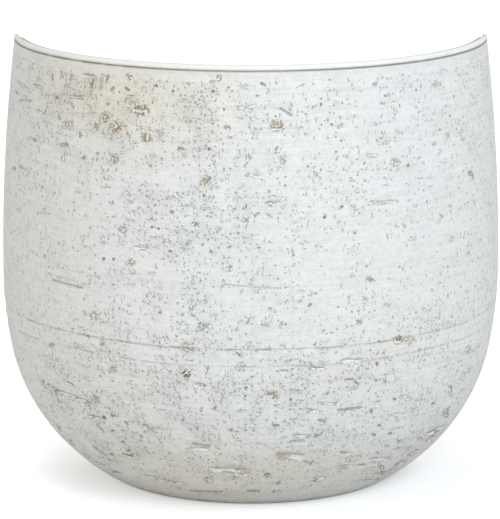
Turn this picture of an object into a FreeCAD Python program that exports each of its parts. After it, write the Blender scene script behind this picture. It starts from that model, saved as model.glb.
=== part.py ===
import FreeCAD, Part
import math
import os

from FreeCAD import Vector

# A hanging wall vase: half of a wheel-thrown stoneware pot, cut on its axis and closed by a flat
# clay slab, hung through two keyholes on two screws. Lengths in mm, angles in degrees.
# The frame: the wall is the plane y = 0 and the room is at -Y, +Z is up, and the origin lies on
# the wall midway between the two screws. Heights named below count from the foot.

# Thrown half
belly_radius = 150.0
belly_height = 123.0
shoulder_arc_radius = 1120.0
side_arc_radius = 220.0
side_arc_turn = 11.5
foot_radius = 86.5
foot_round = 3.0
rim_height = 266.0
wall = 8.0
floor_thickness = 11.0
inner_corner_radius = 24.0

# Rounded lip above the crease at the rim
lip_rise = 2.6
lip_crest_inset = 2.0
lip_inner_drop = 1.6
lip_outer_bulge = 0.45
lip_inner_bulge = 1.1

# Two turned rings on the outside
ring_heights = (109.0, 100.0)
ring_depths = (0.6, 0.4)
ring_tool_radius = 2.6

# Back slab with its scooped top edge
slab_thickness = 10.0
slab_round = 2.5
scoop_end_drop = 8.0
scoop_depth = 30.0

# Coil of clay pressed into the inner corner between bowl and slab
coil_leg = 8.0
coil_hollow = 1.0

# Keyholes: the clay left above each slot, and sizes across
slot_cover = 28.0
screw_spacing = 120.0
slot_radius = 3.0
entry_radius = 6.5
lift_travel = 11.5

# Screws
shank_radius = 2.5
screw_length = 60.0
head_radius = 5.0
head_height = 3.6
head_edge = 1.0
recess_arm = 2.7
recess_width = 1.1
recess_depth = 2.3
thread_length = 38.0
thread_pitch = 2.2
thread_depth = 0.7
thread_crest = 0.3
tip_length = 4.0
tip_radius = 0.3

# Wall plugs
plug_radius = 4.0
plug_length = 40.0
plug_nose = 2.0
plug_nose_radius = 3.3
collar_radius = 6.0
collar_thickness = 1.0
slit_width = 1.2
slit_start = 9.0

# Pads that keep the glaze off the wall
pad_radius = 5.0
pad_thickness = 2.0
pad_edge = 0.5
pad_inset = 33.0
lower_pad_height = 42.0

# Clearances
seat_gap = 0.3
bore_gap = 0.1
overrun = 5.0

# Derived places
slab_back = -pad_thickness
cut_plane = slab_back - slab_thickness
crest_height = rim_height + lip_rise
slab_top = crest_height - scoop_end_drop
scoop_low = slab_top - scoop_depth
head_seat = cut_plane - seat_gap
slot_top = shank_radius + seat_gap
up = Vector(0, 0, 1)
into_wall = Vector(0, 1, 0)


# The wall's outline is three tangent arcs, each with its centre in the plane of the cut
shoulder_centre = Vector(belly_radius - shoulder_arc_radius, 0, belly_height)
side_centre = Vector(belly_radius - side_arc_radius, 0, belly_height)


def lower_arc():
    """Centre and radius of the arc that joins the side arc to the foot's edge, tangent to the side arc."""
    turn = math.radians(side_arc_turn)
    normal = Vector(math.cos(turn), 0, -math.sin(turn))
    start = side_centre + normal * side_arc_radius
    chord = start - Vector(foot_radius, 0, 0)
    radius = chord.dot(chord) / (2 * chord.dot(normal))
    return start - normal * radius, radius


lower_centre, lower_radius = lower_arc()


def radius_at(height, inset=0.0):
    """Radius of the wall at a height above the foot, on a surface inset from the outside."""
    joint = belly_height - (side_arc_radius - inset) * math.sin(math.radians(side_arc_turn))
    if height >= belly_height:
        centre, reach = shoulder_centre, shoulder_arc_radius
    elif height >= joint:
        centre, reach = side_centre, side_arc_radius
    else:
        centre, reach = lower_centre, lower_radius
    return centre.x + math.sqrt((reach - inset) ** 2 - (height - centre.z) ** 2)


def scoop_height(x):
    """Height of the slab's scooped top edge at a distance from its middle."""
    half = radius_at(slab_top)
    radius = (half ** 2 + scoop_depth ** 2) / (2 * scoop_depth)
    return scoop_low + radius - math.sqrt(radius ** 2 - x ** 2)


screw_height = scoop_height(screw_spacing / 2) - slot_cover - slot_top


def place(r, z, y=cut_plane):
    """A point at radius r and height z above the foot, in the plane at depth y."""
    return Vector(r, y, z - screw_height)


def arc_between(centre, radius, start, end, y):
    """Arc about a centre from one polar angle to another, in the plane at depth y."""
    middle = (start + end) / 2
    points = [
        place(centre.x + radius * math.cos(a), centre.z + radius * math.sin(a), y)
        for a in (start, middle, end)
    ]
    return Part.Arc(*points).toShape()


def wall_line(inset, floor, corner, top, y=cut_plane):
    """Edges of one wall surface from its corner with the floor, up the side to a height.

    The corner is an arc tangent to the floor and to the lower arc. Also gives the floor's radius.
    """
    reach = lower_radius - inset
    corner_x = lower_centre.x + math.sqrt(
        (reach - corner) ** 2 - (lower_centre.z - floor - corner) ** 2
    )
    corner_centre = Vector(corner_x, 0, floor + corner)
    away = corner_centre - lower_centre
    corner_angle = math.atan2(away.z, away.x)
    turn = math.radians(side_arc_turn)
    top_angle = math.asin((top - belly_height) / (shoulder_arc_radius - inset))
    edges = [
        arc_between(corner_centre, corner, -math.pi / 2, corner_angle, y),
        arc_between(lower_centre, reach, corner_angle, -turn, y),
        arc_between(side_centre, side_arc_radius - inset, -turn, 0, y),
        arc_between(shoulder_centre, shoulder_arc_radius - inset, 0, top_angle, y),
    ]
    return edges, corner_x


def bulged(start, end, bulge):
    """Arc between two points of the half plane whose middle stands out to the left of start to end."""
    along = end - start
    side = Vector(-along.z, 0, along.x).normalize()
    middle = (start + end) * 0.5 - side * bulge
    return Part.Arc(start, middle, end).toShape()


def line(start, end):
    return Part.makeLine(start, end)


def half_turn(wire):
    """Sweeps a closed outline in the cut plane half a turn about the pot's axis, towards the room."""
    face = Part.Face(wire)
    solid = face.revolve(place(0, 0), -up, 180)
    return solid.removeSplitter()


def mirrored(edges):
    """The edges reflected to the other side of the pot's middle plane, in the reverse order."""
    return [e.mirror(Vector(0, 0, 0), Vector(1, 0, 0)) for e in reversed(edges)]


def closed_wire(edges):
    return Part.Wire(Part.__sortEdges__(edges))


def cavity():
    """The hollow of the bowl, run up past the lip, for trimming the coil."""
    edges, floor_radius = wall_line(wall, floor_thickness, inner_corner_radius, rim_height)
    top_outer = edges[-1].valueAt(edges[-1].LastParameter)
    top_inner = place(0, rim_height)
    floor_middle = place(0, floor_thickness)
    floor_edge = place(floor_radius, floor_thickness)
    closing = [line(top_outer, top_inner), line(top_inner, floor_middle), line(floor_middle, floor_edge)]
    return half_turn(closed_wire(edges + closing))


def ring_groove(height, depth):
    """A shallow turned groove: a round tool swept about the axis that bites into the outer wall."""
    bite = radius_at(height) - depth + ring_tool_radius
    centre = place(bite, height)
    circle = Part.Wire(Part.makeCircle(ring_tool_radius, centre, into_wall))
    tool = Part.Face(circle).revolve(place(0, 0), -up, 180)
    return tool


def front_bowl():
    """Thrown half: floor, wall and rounded lip as one turned outline, with its two rings cut in."""
    outer, foot_edge = wall_line(0.0, 0.0, foot_round, rim_height)
    inner_top = rim_height - lip_inner_drop
    inner, floor_edge = wall_line(wall, floor_thickness, inner_corner_radius, inner_top)
    lip_edge = place(radius_at(rim_height), rim_height)
    crest = place(radius_at(rim_height) - lip_crest_inset, crest_height)
    lip_inside = place(radius_at(inner_top, wall), inner_top)
    lip = [bulged(lip_edge, crest, lip_outer_bulge), bulged(crest, lip_inside, lip_inner_bulge)]
    bottom = [
        line(place(0, 0), place(foot_edge, 0)),
        line(place(0, floor_thickness), place(floor_edge, floor_thickness)),
        line(place(0, 0), place(0, floor_thickness)),
    ]
    bowl = half_turn(closed_wire(outer + inner + lip + bottom))
    for height, depth in zip(ring_heights, ring_depths):
        bowl = bowl.cut(ring_groove(height, depth))
    return bowl


def above_scoop(front, back):
    """Everything above the slab's scooped top edge, between two depths, for cutting it."""
    reach = radius_at(slab_top)
    ends = [place(side * reach, slab_top, front) for side in (-1, 1)]
    low = place(0, scoop_low, front)
    out = [place(side * (belly_radius + overrun), slab_top, front) for side in (-1, 1)]
    high = [place(side * (belly_radius + overrun), crest_height + overrun, front) for side in (-1, 1)]
    edges = [
        Part.Arc(ends[0], low, ends[1]).toShape(),
        line(ends[1], out[1]),
        line(out[1], high[1]),
        line(high[1], high[0]),
        line(high[0], out[0]),
        line(out[0], ends[0]),
    ]
    return Part.Face(closed_wire(edges)).extrude(into_wall * (back - front))


def keyhole(x):
    """Cutter for one keyhole: round entry below, slot above that seats on the screw's shank."""
    depth = slab_thickness + 2 * overrun
    front = cut_plane - overrun
    seat_z = slot_top - slot_radius
    entry = Part.makeCylinder(entry_radius, depth, Vector(x, front, -lift_travel), into_wall)
    seat = Part.makeCylinder(slot_radius, depth, Vector(x, front, seat_z), into_wall)
    channel = Part.makeBox(
        2 * slot_radius, depth, seat_z + lift_travel, Vector(x - slot_radius, front, -lift_travel)
    )
    return entry.fuse(channel).fuse(seat).removeSplitter()


def back_slab():
    """Flat slab luted to the bowl's cut face, flush with its outline, with a rounded back edge."""
    side, foot_edge = wall_line(0.0, 0.0, foot_round, slab_top, slab_back)
    corners = [place(sign * foot_edge, 0, slab_back) for sign in (-1, 1)]
    tips = [place(sign * radius_at(slab_top), slab_top, slab_back) for sign in (-1, 1)]
    low = place(0, scoop_low, slab_back)
    edges = side + mirrored(side) + [line(*corners), Part.Arc(tips[0], low, tips[1]).toShape()]
    slab = Part.Face(closed_wire(edges)).extrude(into_wall * -slab_thickness)
    back_edges = [e for e in slab.Edges if abs(e.CenterOfMass.y - slab_back) < bore_gap]
    slab = slab.makeFillet(min(slab_round, slab_thickness / 2), back_edges)
    for x in screw_places():
        slab = slab.cut(keyhole(x))
    return slab


def seam_coil():
    """Coil pressed into the corner: a three-cornered section run along the bowl's inner outline."""
    side, floor_edge = wall_line(wall, floor_thickness, inner_corner_radius, rim_height)
    floor = [line(place(floor_edge, floor_thickness), place(-floor_edge, floor_thickness))]
    path = Part.Wire(Part.__sortEdges__(list(reversed(side)) + floor + mirrored(list(reversed(side)))))
    top_angle = math.asin((rim_height - belly_height) / (shoulder_arc_radius - wall))
    outward = Vector(math.cos(top_angle), 0, math.sin(top_angle))
    corner = place(radius_at(rim_height, wall), rim_height)
    buried = corner + outward * overrun
    on_slab = corner - outward * coil_leg
    on_wall = corner - into_wall * coil_leg
    beyond = on_wall + outward * overrun
    hollow = (on_slab + on_wall) * 0.5
    hollow = hollow + (corner - hollow).normalize() * coil_hollow
    section = Part.Wire(
        [
            line(buried, on_slab),
            Part.Arc(on_slab, hollow, on_wall).toShape(),
            line(on_wall, beyond),
            line(beyond, buried),
        ]
    )
    run = path.makePipeShell([section], True, False)
    coil = run.common(cavity())
    return coil.cut(above_scoop(cut_plane - coil_leg - overrun, cut_plane + overrun))


def screw_places():
    return [side * screw_spacing / 2 for side in (-1, 1)]


def turned(points):
    """A solid of revolution about a Y line through the origin from (radius, depth) points."""
    corners = [Vector(r, y, 0) for r, y in points]
    outline = Part.makePolygon(corners + [corners[0]])
    return Part.Face(outline).revolve(Vector(0, 0, 0), into_wall, 360)


def screw_thread(start, end):
    """Points along the threaded stretch, from its start to its end: crests with roots between."""
    turns = int((end - start) / thread_pitch)
    root = shank_radius - thread_depth
    points = []
    for n in range(turns):
        base = start + n * thread_pitch
        points.append((shank_radius, base))
        points.append((shank_radius, base + thread_crest))
        points.append((root, base + thread_pitch / 2))
    points.append((shank_radius, start + turns * thread_pitch))
    return points


def screw(x):
    """Pan-head screw: flat underside that bears on the slab, plain shank, thread, point, cross recess."""
    tip = head_seat + screw_length
    thread_end = tip - tip_length
    head_top = head_seat - head_height
    rise = head_height - head_edge
    dome_radius = (head_radius ** 2 + rise ** 2) / (2 * rise)
    dome = Part.makeSphere(dome_radius, Vector(0, head_top + dome_radius, 0))
    head = Part.makeCylinder(head_radius, head_height, Vector(0, head_top, 0), into_wall).common(dome)
    shank = [(0, head_seat), (shank_radius, head_seat)]
    shank += screw_thread(thread_end - thread_length, thread_end)
    shank += [(tip_radius, tip), (0, tip)]
    body = head.fuse(turned(shank))
    for size_x, size_z in ((recess_arm, recess_width / 2), (recess_width / 2, recess_arm)):
        recess = Part.makeBox(
            2 * size_x, recess_depth + overrun, 2 * size_z, Vector(-size_x, head_top - overrun, -size_z)
        )
        body = body.cut(recess)
    body = body.removeSplitter()
    body.translate(Vector(x, 0, 0))
    return body


def wall_plug(x):
    """Wall plug: a collar on the wall's face, a plain sleeve in the wall, split towards its nose."""
    bore = shank_radius + bore_gap
    sleeve_end = plug_length - plug_nose
    outline = [
        (bore, -collar_thickness),
        (collar_radius, -collar_thickness),
        (collar_radius, 0),
        (plug_radius, 0),
        (plug_radius, sleeve_end),
        (plug_nose_radius, plug_length),
        (bore, plug_length),
    ]
    plug = turned(outline)
    slit = Part.makeBox(
        slit_width,
        plug_length - slit_start + overrun,
        2 * collar_radius,
        Vector(-slit_width / 2, slit_start, -collar_radius),
    )
    plug = plug.cut(slit)
    plug.translate(Vector(x, 0, 0))
    return plug


def wall_pad(x, height):
    """Soft round pad stuck to the slab's back, with a chamfer round the face that meets the wall."""
    foot = Vector(x, slab_back, height - screw_height)
    pad = Part.makeCylinder(pad_radius, pad_thickness, foot, into_wall)
    rim = [e for e in pad.Edges if abs(e.CenterOfMass.y) < pad_edge / 2 and e.Closed]
    return pad.makeChamfer(pad_edge, rim)


def save(shape, name):
    solid = shape.Solids[0] if len(shape.Solids) == 1 else shape
    solid.exportStep("parts/" + name + ".step")
    box = solid.BoundBox
    sides = (box.XMin, box.XMax, box.YMin, box.YMax, box.ZMin, box.ZMax)
    print(name, len(shape.Solids), solid.isValid(), round(solid.Volume), [round(v, 2) for v in sides])


os.makedirs("parts", exist_ok=True)
save(front_bowl(), "front_bowl")
save(back_slab(), "back_slab")
save(seam_coil(), "seam_coil")
for side, x in zip(("left", "right"), screw_places()):
    save(screw(x), "hanging_screw_" + side)
    save(wall_plug(x), "wall_plug_" + side)
for level, height in (("lower", lower_pad_height), ("upper", screw_height)):
    for side, sign in (("left", -1), ("right", 1)):
        save(wall_pad(sign * (radius_at(height) - pad_inset), height), "wall_pad_" + level + "_" + side)
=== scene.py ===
import math

import bmesh
import bpy
import numpy as np
from mathutils import Matrix, Vector, noise
from mathutils.bvhtree import BVHTree


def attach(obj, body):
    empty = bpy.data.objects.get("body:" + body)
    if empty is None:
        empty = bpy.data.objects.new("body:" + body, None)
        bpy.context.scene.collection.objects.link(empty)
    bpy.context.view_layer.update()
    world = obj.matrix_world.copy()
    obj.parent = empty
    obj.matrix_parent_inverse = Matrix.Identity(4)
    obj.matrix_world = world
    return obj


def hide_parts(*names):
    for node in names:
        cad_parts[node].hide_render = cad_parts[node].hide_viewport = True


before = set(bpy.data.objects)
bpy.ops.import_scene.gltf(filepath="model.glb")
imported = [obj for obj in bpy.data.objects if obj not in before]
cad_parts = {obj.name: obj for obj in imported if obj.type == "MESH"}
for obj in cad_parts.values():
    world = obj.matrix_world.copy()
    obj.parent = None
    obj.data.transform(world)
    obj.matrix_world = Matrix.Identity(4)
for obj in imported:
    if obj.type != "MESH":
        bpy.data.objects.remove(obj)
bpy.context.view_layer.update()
bpy.context.scene.view_settings.view_transform = "Standard"

# The camera stands two metres in front of the pot's axis and twelve degrees above the belly, with a
# long lens. It is aimed so that the axis falls on the photograph's column 250.7.
photo_width_px = 500
photo_height_px = 519
pot_axis_y = -0.012
foot_level = -0.205
lens_mm = 228.98
sensor_mm = 36.0
camera_distance = 2.0
camera_elevation = math.radians(12.05)
camera_side_shift = -0.00042
aim_height = 0.1284

aim = Vector((camera_side_shift, pot_axis_y, foot_level + aim_height))
from_aim = Vector((0, -math.cos(camera_elevation), math.sin(camera_elevation)))
camera = bpy.data.objects.new("camera", bpy.data.cameras.new("camera"))
camera.data.sensor_width = sensor_mm
camera.data.lens = lens_mm
camera.location = aim + from_aim * camera_distance
camera.rotation_mode = "QUATERNION"
camera.rotation_quaternion = (-from_aim).to_track_quat("-Z", "Y")
bpy.context.scene.collection.objects.link(camera)
bpy.context.scene.camera = camera
focal_px = lens_mm / sensor_mm * photo_height_px

# The thrown front half of the pot: coarse grogged stoneware, turned on a wheel and cut on its axis.
# The lip is rounded over a sharp crease, and a tool has left two rings low on the belly. Its walls
# follow three arcs that run into each other.
belly_radius = 0.150
belly_height = 0.123
shoulder_arc_radius = 1.120
side_arc_radius = 0.220
side_arc_turn = math.radians(11.5)
foot_radius = 0.0865
foot_round = 0.003
rim_height = 0.266
wall = 0.008
floor_thickness = 0.011
inner_corner_radius = 0.024
lip_rise = 0.0026
lip_crest_inset = 0.0020
lip_inner_drop = 0.0016
lip_outer_curve = 0.0029
lip_inner_curve = 0.0066
turn_sectors = 20
outer_columns = 15
inner_columns = 5
seam_round = 0.0009
seam_from_radius = 0.100
seam_to_radius = 0.125
seam_insets = ((0.4, 1.0), (0.6, 0.35))
fine_under_rim = 0.004
crease_depth = 0.0006
crease_half_height = 0.0004
crease_drop = 0.0007
# Height, depth and darkness of each turned line: the rings, and the faint lines of the throwing. The
# darkness is a painted shade line along each groove.
rings = (
    (0.1085, 0.00085, 1.6),
    (0.0985, 0.00055, 1.0),
    (0.0885, 0.00030, 0.6),
    (0.1446, 0.00012, 0.3),
    (0.1781, 0.00012, 0.3),
    (0.2257, 0.00015, 0.35),
    (0.234, 0.00015, 0.4),
    (0.2451, 0.00018, 0.5),
    (0.2545, 0.00012, 0.35),
)
ring_lip = 0.0004
ring_fade = 0.0035
ring_wander = 0.0010
merge_distance = 1e-6

shoulder_centre = Vector((belly_radius - shoulder_arc_radius, 0, belly_height))
side_centre = Vector((belly_radius - side_arc_radius, 0, belly_height))
turn_normal = Vector((math.cos(side_arc_turn), 0, -math.sin(side_arc_turn)))
turn_point = side_centre + turn_normal * side_arc_radius
foot_chord = turn_point - Vector((foot_radius, 0, 0))
lower_arc_radius = foot_chord.length_squared / (2 * foot_chord.dot(turn_normal))
lower_centre = turn_point - turn_normal * lower_arc_radius


def wall_radius(height, inset=0.0):
    """Radius of the wall above the belly, on a surface inset from the outside."""
    reach = shoulder_arc_radius - inset
    return shoulder_centre.x + math.sqrt(reach ** 2 - (height - belly_height) ** 2)


def corner_of(inset, floor, corner):
    """Centre of the arc between floor and wall, and its angle where it meets the wall."""
    reach = lower_arc_radius - inset - corner
    out = math.sqrt(reach ** 2 - (lower_centre.z - floor - corner) ** 2)
    centre = Vector((lower_centre.x + out, 0, floor + corner))
    away = centre - lower_centre
    return centre, math.atan2(away.z, away.x)


def on_circle(centre, radius, angle):
    """A point of an upright circle, at an angle from +X towards +Z."""
    return centre + Vector((math.cos(angle), 0, math.sin(angle))) * radius


def arc_to(pot, start, end, radius, steps, bulge=1):
    """Turns a profile vertex along an arc to a new place; bulge 1 is to the right of the run."""
    chord = end - start.co
    left = Vector((-chord.z, 0, chord.x)).normalized()
    rise = math.sqrt(max(radius ** 2 - chord.length_squared / 4, 0))
    centre = start.co + chord / 2 + left * rise * bulge
    angle = 2 * math.asin(min(chord.length / (2 * radius), 1))
    run = bmesh.ops.spin(
        pot, geom=[start], cent=centre, axis=(0, 1, 0), angle=-angle * bulge, steps=steps
    )
    return [v for v in run["geom_last"] if isinstance(v, bmesh.types.BMVert)][0]


def straight_to(pot, start, end, steps):
    """Draws a profile vertex along a straight run to a new place."""
    step = (end - start.co) / steps
    for _ in range(steps):
        start = bmesh.ops.extrude_vert_indiv(pot, verts=[start])["verts"][0]
        start.co += step
    return start


def turn_half(pot, columns):
    """Sweeps a profile half a turn about the pot's axis, sector by sector, right to left."""
    sector = math.pi / turn_sectors
    turn = {"cent": (0, 0, 0), "axis": (0, 0, -1)}
    bmesh.ops.spin(pot, geom=pot.verts[:] + pot.edges[:], angle=sector, steps=columns, **turn)
    bmesh.ops.spin(
        pot,
        geom=pot.verts[:] + pot.edges[:] + pot.faces[:],
        angle=math.pi - sector,
        steps=turn_sectors - 1,
        use_duplicate=True,
        **turn,
    )
    bmesh.ops.remove_doubles(pot, verts=pot.verts[:], dist=merge_distance)


def measure_along(pot, run_layer, start_length):
    """Gives each vertex of a profile, in the order it was drawn, its length along the profile."""
    pot.verts.ensure_lookup_table()
    length = start_length
    last = None
    for v in pot.verts:
        if last is not None:
            length += (v.co - last).length
        v[run_layer] = length
        last = v.co.copy()
    return length


def bowl_profile_outside(pot):
    """Draws the outside from the middle of the foot to the inner edge of the lip."""
    corner, corner_angle = corner_of(0.0, 0.0, foot_round)
    foot_end = on_circle(corner, foot_round, corner_angle)
    point = pot.verts.new((0, 0, 0))
    point = straight_to(pot, point, Vector((corner.x, 0, 0)), steps=5)
    point = arc_to(pot, point, foot_end, foot_round, steps=4)
    point = arc_to(pot, point, turn_point, lower_arc_radius, steps=86)
    for share, steps in ((0.35, 14), (0.80, 34), (1.0, 8)):
        side = on_circle(side_centre, side_arc_radius, -side_arc_turn * (1 - share))
        point = arc_to(pot, point, side, side_arc_radius, steps)
    for height, steps in ((rim_height - fine_under_rim, 112), (rim_height, 14)):
        end = Vector((wall_radius(height), 0, height))
        point = arc_to(pot, point, end, shoulder_arc_radius, steps)
    crest = Vector((wall_radius(rim_height) - lip_crest_inset, 0, rim_height + lip_rise))
    point = arc_to(pot, point, crest, lip_outer_curve, steps=7)
    inner_top = rim_height - lip_inner_drop
    lip_inside = Vector((wall_radius(inner_top, wall), 0, inner_top))
    arc_to(pot, point, lip_inside, lip_inner_curve, steps=9)


def bowl_profile_inside(pot):
    """Draws the inside from just under the lip down to the middle of the floor."""
    top = rim_height - 2 * lip_inner_drop
    corner, corner_angle = corner_of(wall, floor_thickness, inner_corner_radius)
    belly = Vector((belly_radius - wall, 0, belly_height))
    side_end = turn_point - turn_normal * wall
    wall_end = on_circle(corner, inner_corner_radius, corner_angle)
    floor_edge = Vector((corner.x, 0, floor_thickness))
    point = pot.verts.new((wall_radius(top, wall), 0, top))
    for end, radius, steps in (
        (belly, shoulder_arc_radius - wall, 30),
        (side_end, side_arc_radius - wall, 10),
        (wall_end, lower_arc_radius - wall, 18),
        (floor_edge, inner_corner_radius, 10),
    ):
        point = arc_to(pot, point, end, radius, steps, bulge=-1)
    straight_to(pot, point, Vector((0, 0, floor_thickness)), steps=8)


def open_ends(pot):
    """Edges that border only one face."""
    return [e for e in pot.edges if e.is_boundary]


def join_into(whole, part):
    """Adds a bmesh to another as loose geometry and frees it."""
    carried = bpy.data.meshes.new("part")
    part.to_mesh(carried)
    part.free()
    whole.from_mesh(carried)
    bpy.data.meshes.remove(carried)


def thrown_half():
    """The closed half pot as a bmesh about the world's Z axis with its foot at zero."""
    pot = bmesh.new()
    run_layer = pot.verts.layers.float.new("run")
    bowl_profile_outside(pot)
    outside_length = measure_along(pot, run_layer, 0.0)
    turn_half(pot, outer_columns)

    lining = bmesh.new()
    lining_run = lining.verts.layers.float.new("run")
    bowl_profile_inside(lining)
    measure_along(lining, lining_run, outside_length + lip_inner_drop)
    turn_half(lining, inner_columns)
    join_into(pot, lining)

    lip_top = rim_height - lip_inner_drop
    lip_reach = 1.1 * lip_inner_drop
    near_lip = [
        e
        for e in open_ends(pot)
        if all(abs(v.co.z - lip_top) < lip_reach for v in e.verts)
        and abs(e.verts[0].co.z - e.verts[1].co.z) < merge_distance
    ]
    bmesh.ops.bridge_loops(pot, edges=near_lip)

    cut = [e for e in open_ends(pot) if all(abs(v.co.y) < merge_distance for v in e.verts)]
    for vert in {v for e in cut for v in e.verts}:
        vert.co.y = 0.0
    cap = bmesh.ops.holes_fill(pot, edges=cut, sides=0)["faces"]
    rounded = {v for f in cap for v in f.verts}
    for inset, push_back in seam_insets:
        for vert in rounded:
            out = math.hypot(vert.co.x, vert.co.y)
            share = (out - seam_from_radius) / (seam_to_radius - seam_from_radius)
            vert.co.y -= seam_round * push_back * min(max(share, 0.0), 1.0)
        bmesh.ops.inset_region(pot, faces=cap, thickness=seam_round * inset, use_even_offset=True)
        rounded = {v for f in cap for v in f.verts}
        for vert in rounded:
            vert.co.y = 0.0
    bmesh.ops.recalc_face_normals(pot, faces=pot.faces[:])
    bmesh.ops.translate(pot, verts=pot.verts[:], vec=(0, pot_axis_y, foot_level))
    return pot, outside_length


pot, outside_length = thrown_half()
bowl_mesh = bpy.data.meshes.new("bowl_front")
pot.to_mesh(bowl_mesh)
bowl_shape = BVHTree.FromBMesh(pot)
pot.free()
bowl = bpy.data.objects.new("bowl_front", bowl_mesh)
bpy.context.scene.collection.objects.link(bowl)


def read_points(mesh, name="position", parts=3):
    """A mesh attribute of the vertices as an array."""
    values = np.zeros(len(mesh.vertices) * parts, np.float32)
    mesh.attributes[name].data.foreach_get("vector" if parts == 3 else "value", values)
    return values.reshape(-1, parts).astype(float)


def write_points(mesh, name, values, kind="FLOAT_VECTOR"):
    """Writes an array as a mesh attribute of the vertices."""
    if name not in mesh.attributes:
        mesh.attributes.new(name, kind, "POINT")
    field = "vector" if kind == "FLOAT_VECTOR" else "value"
    mesh.attributes[name].data.foreach_set(field, np.asarray(values, np.float32).ravel())


def smooth(value, low, high):
    """0 below low, 1 above high, and a soft step between."""
    t = np.clip((value - low) / (high - low), 0, 1)
    return t * t * (3 - 2 * t)


def noise_at(*axes, seed=0.0):
    """Smooth noise from about -1 to 1 at each point of some coordinate arrays."""
    return np.array([noise.noise(Vector((*p, seed))) for p in zip(*axes)])


place = read_points(bowl_mesh)
run = read_points(bowl_mesh, "run", 1)[:, 0]
depth_from_axis = pot_axis_y - place[:, 1]
out_from_axis = np.hypot(place[:, 0], depth_from_axis)
turn = np.arctan2(np.maximum(depth_from_axis, 0.0), place[:, 0])
height = place[:, 2] - foot_level
outside = run <= outside_length + merge_distance
first_column = outside & (turn < merge_distance) & (place[:, 0] > 0) & (height > merge_distance)
column_order = np.argsort(run[first_column])
column_run = run[first_column][column_order]
column_height = height[first_column][column_order]

# The glaze map runs round the belly to the left and up the wall, both in metres.
glaze_map = bowl_mesh.uv_layers.new(name="glaze_map")
corner_vertex = np.zeros(len(bowl_mesh.loops), np.int32)
bowl_mesh.loops.foreach_get("vertex_index", corner_vertex)
round_belly = turn * belly_radius
glaze_map.uv.foreach_set(
    "vector", np.stack([round_belly, run], 1)[corner_vertex].astype(np.float32).ravel()
)


def on_wall(across, down):
    """Where a pixel of the photograph falls: round the belly and up the wall, in metres."""
    local = Vector((across - photo_width_px / 2, photo_height_px / 2 - down, -focal_px))
    hit = bowl_shape.ray_cast(camera.location, camera.rotation_quaternion @ local.normalized())[0]
    if hit is None:
        return None
    angle = math.atan2(max(pot_axis_y - hit.y, 0.0), hit.x)
    up_wall = np.interp(hit.z - foot_level, column_height, column_run)
    return np.array([angle * belly_radius, up_wall])


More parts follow.
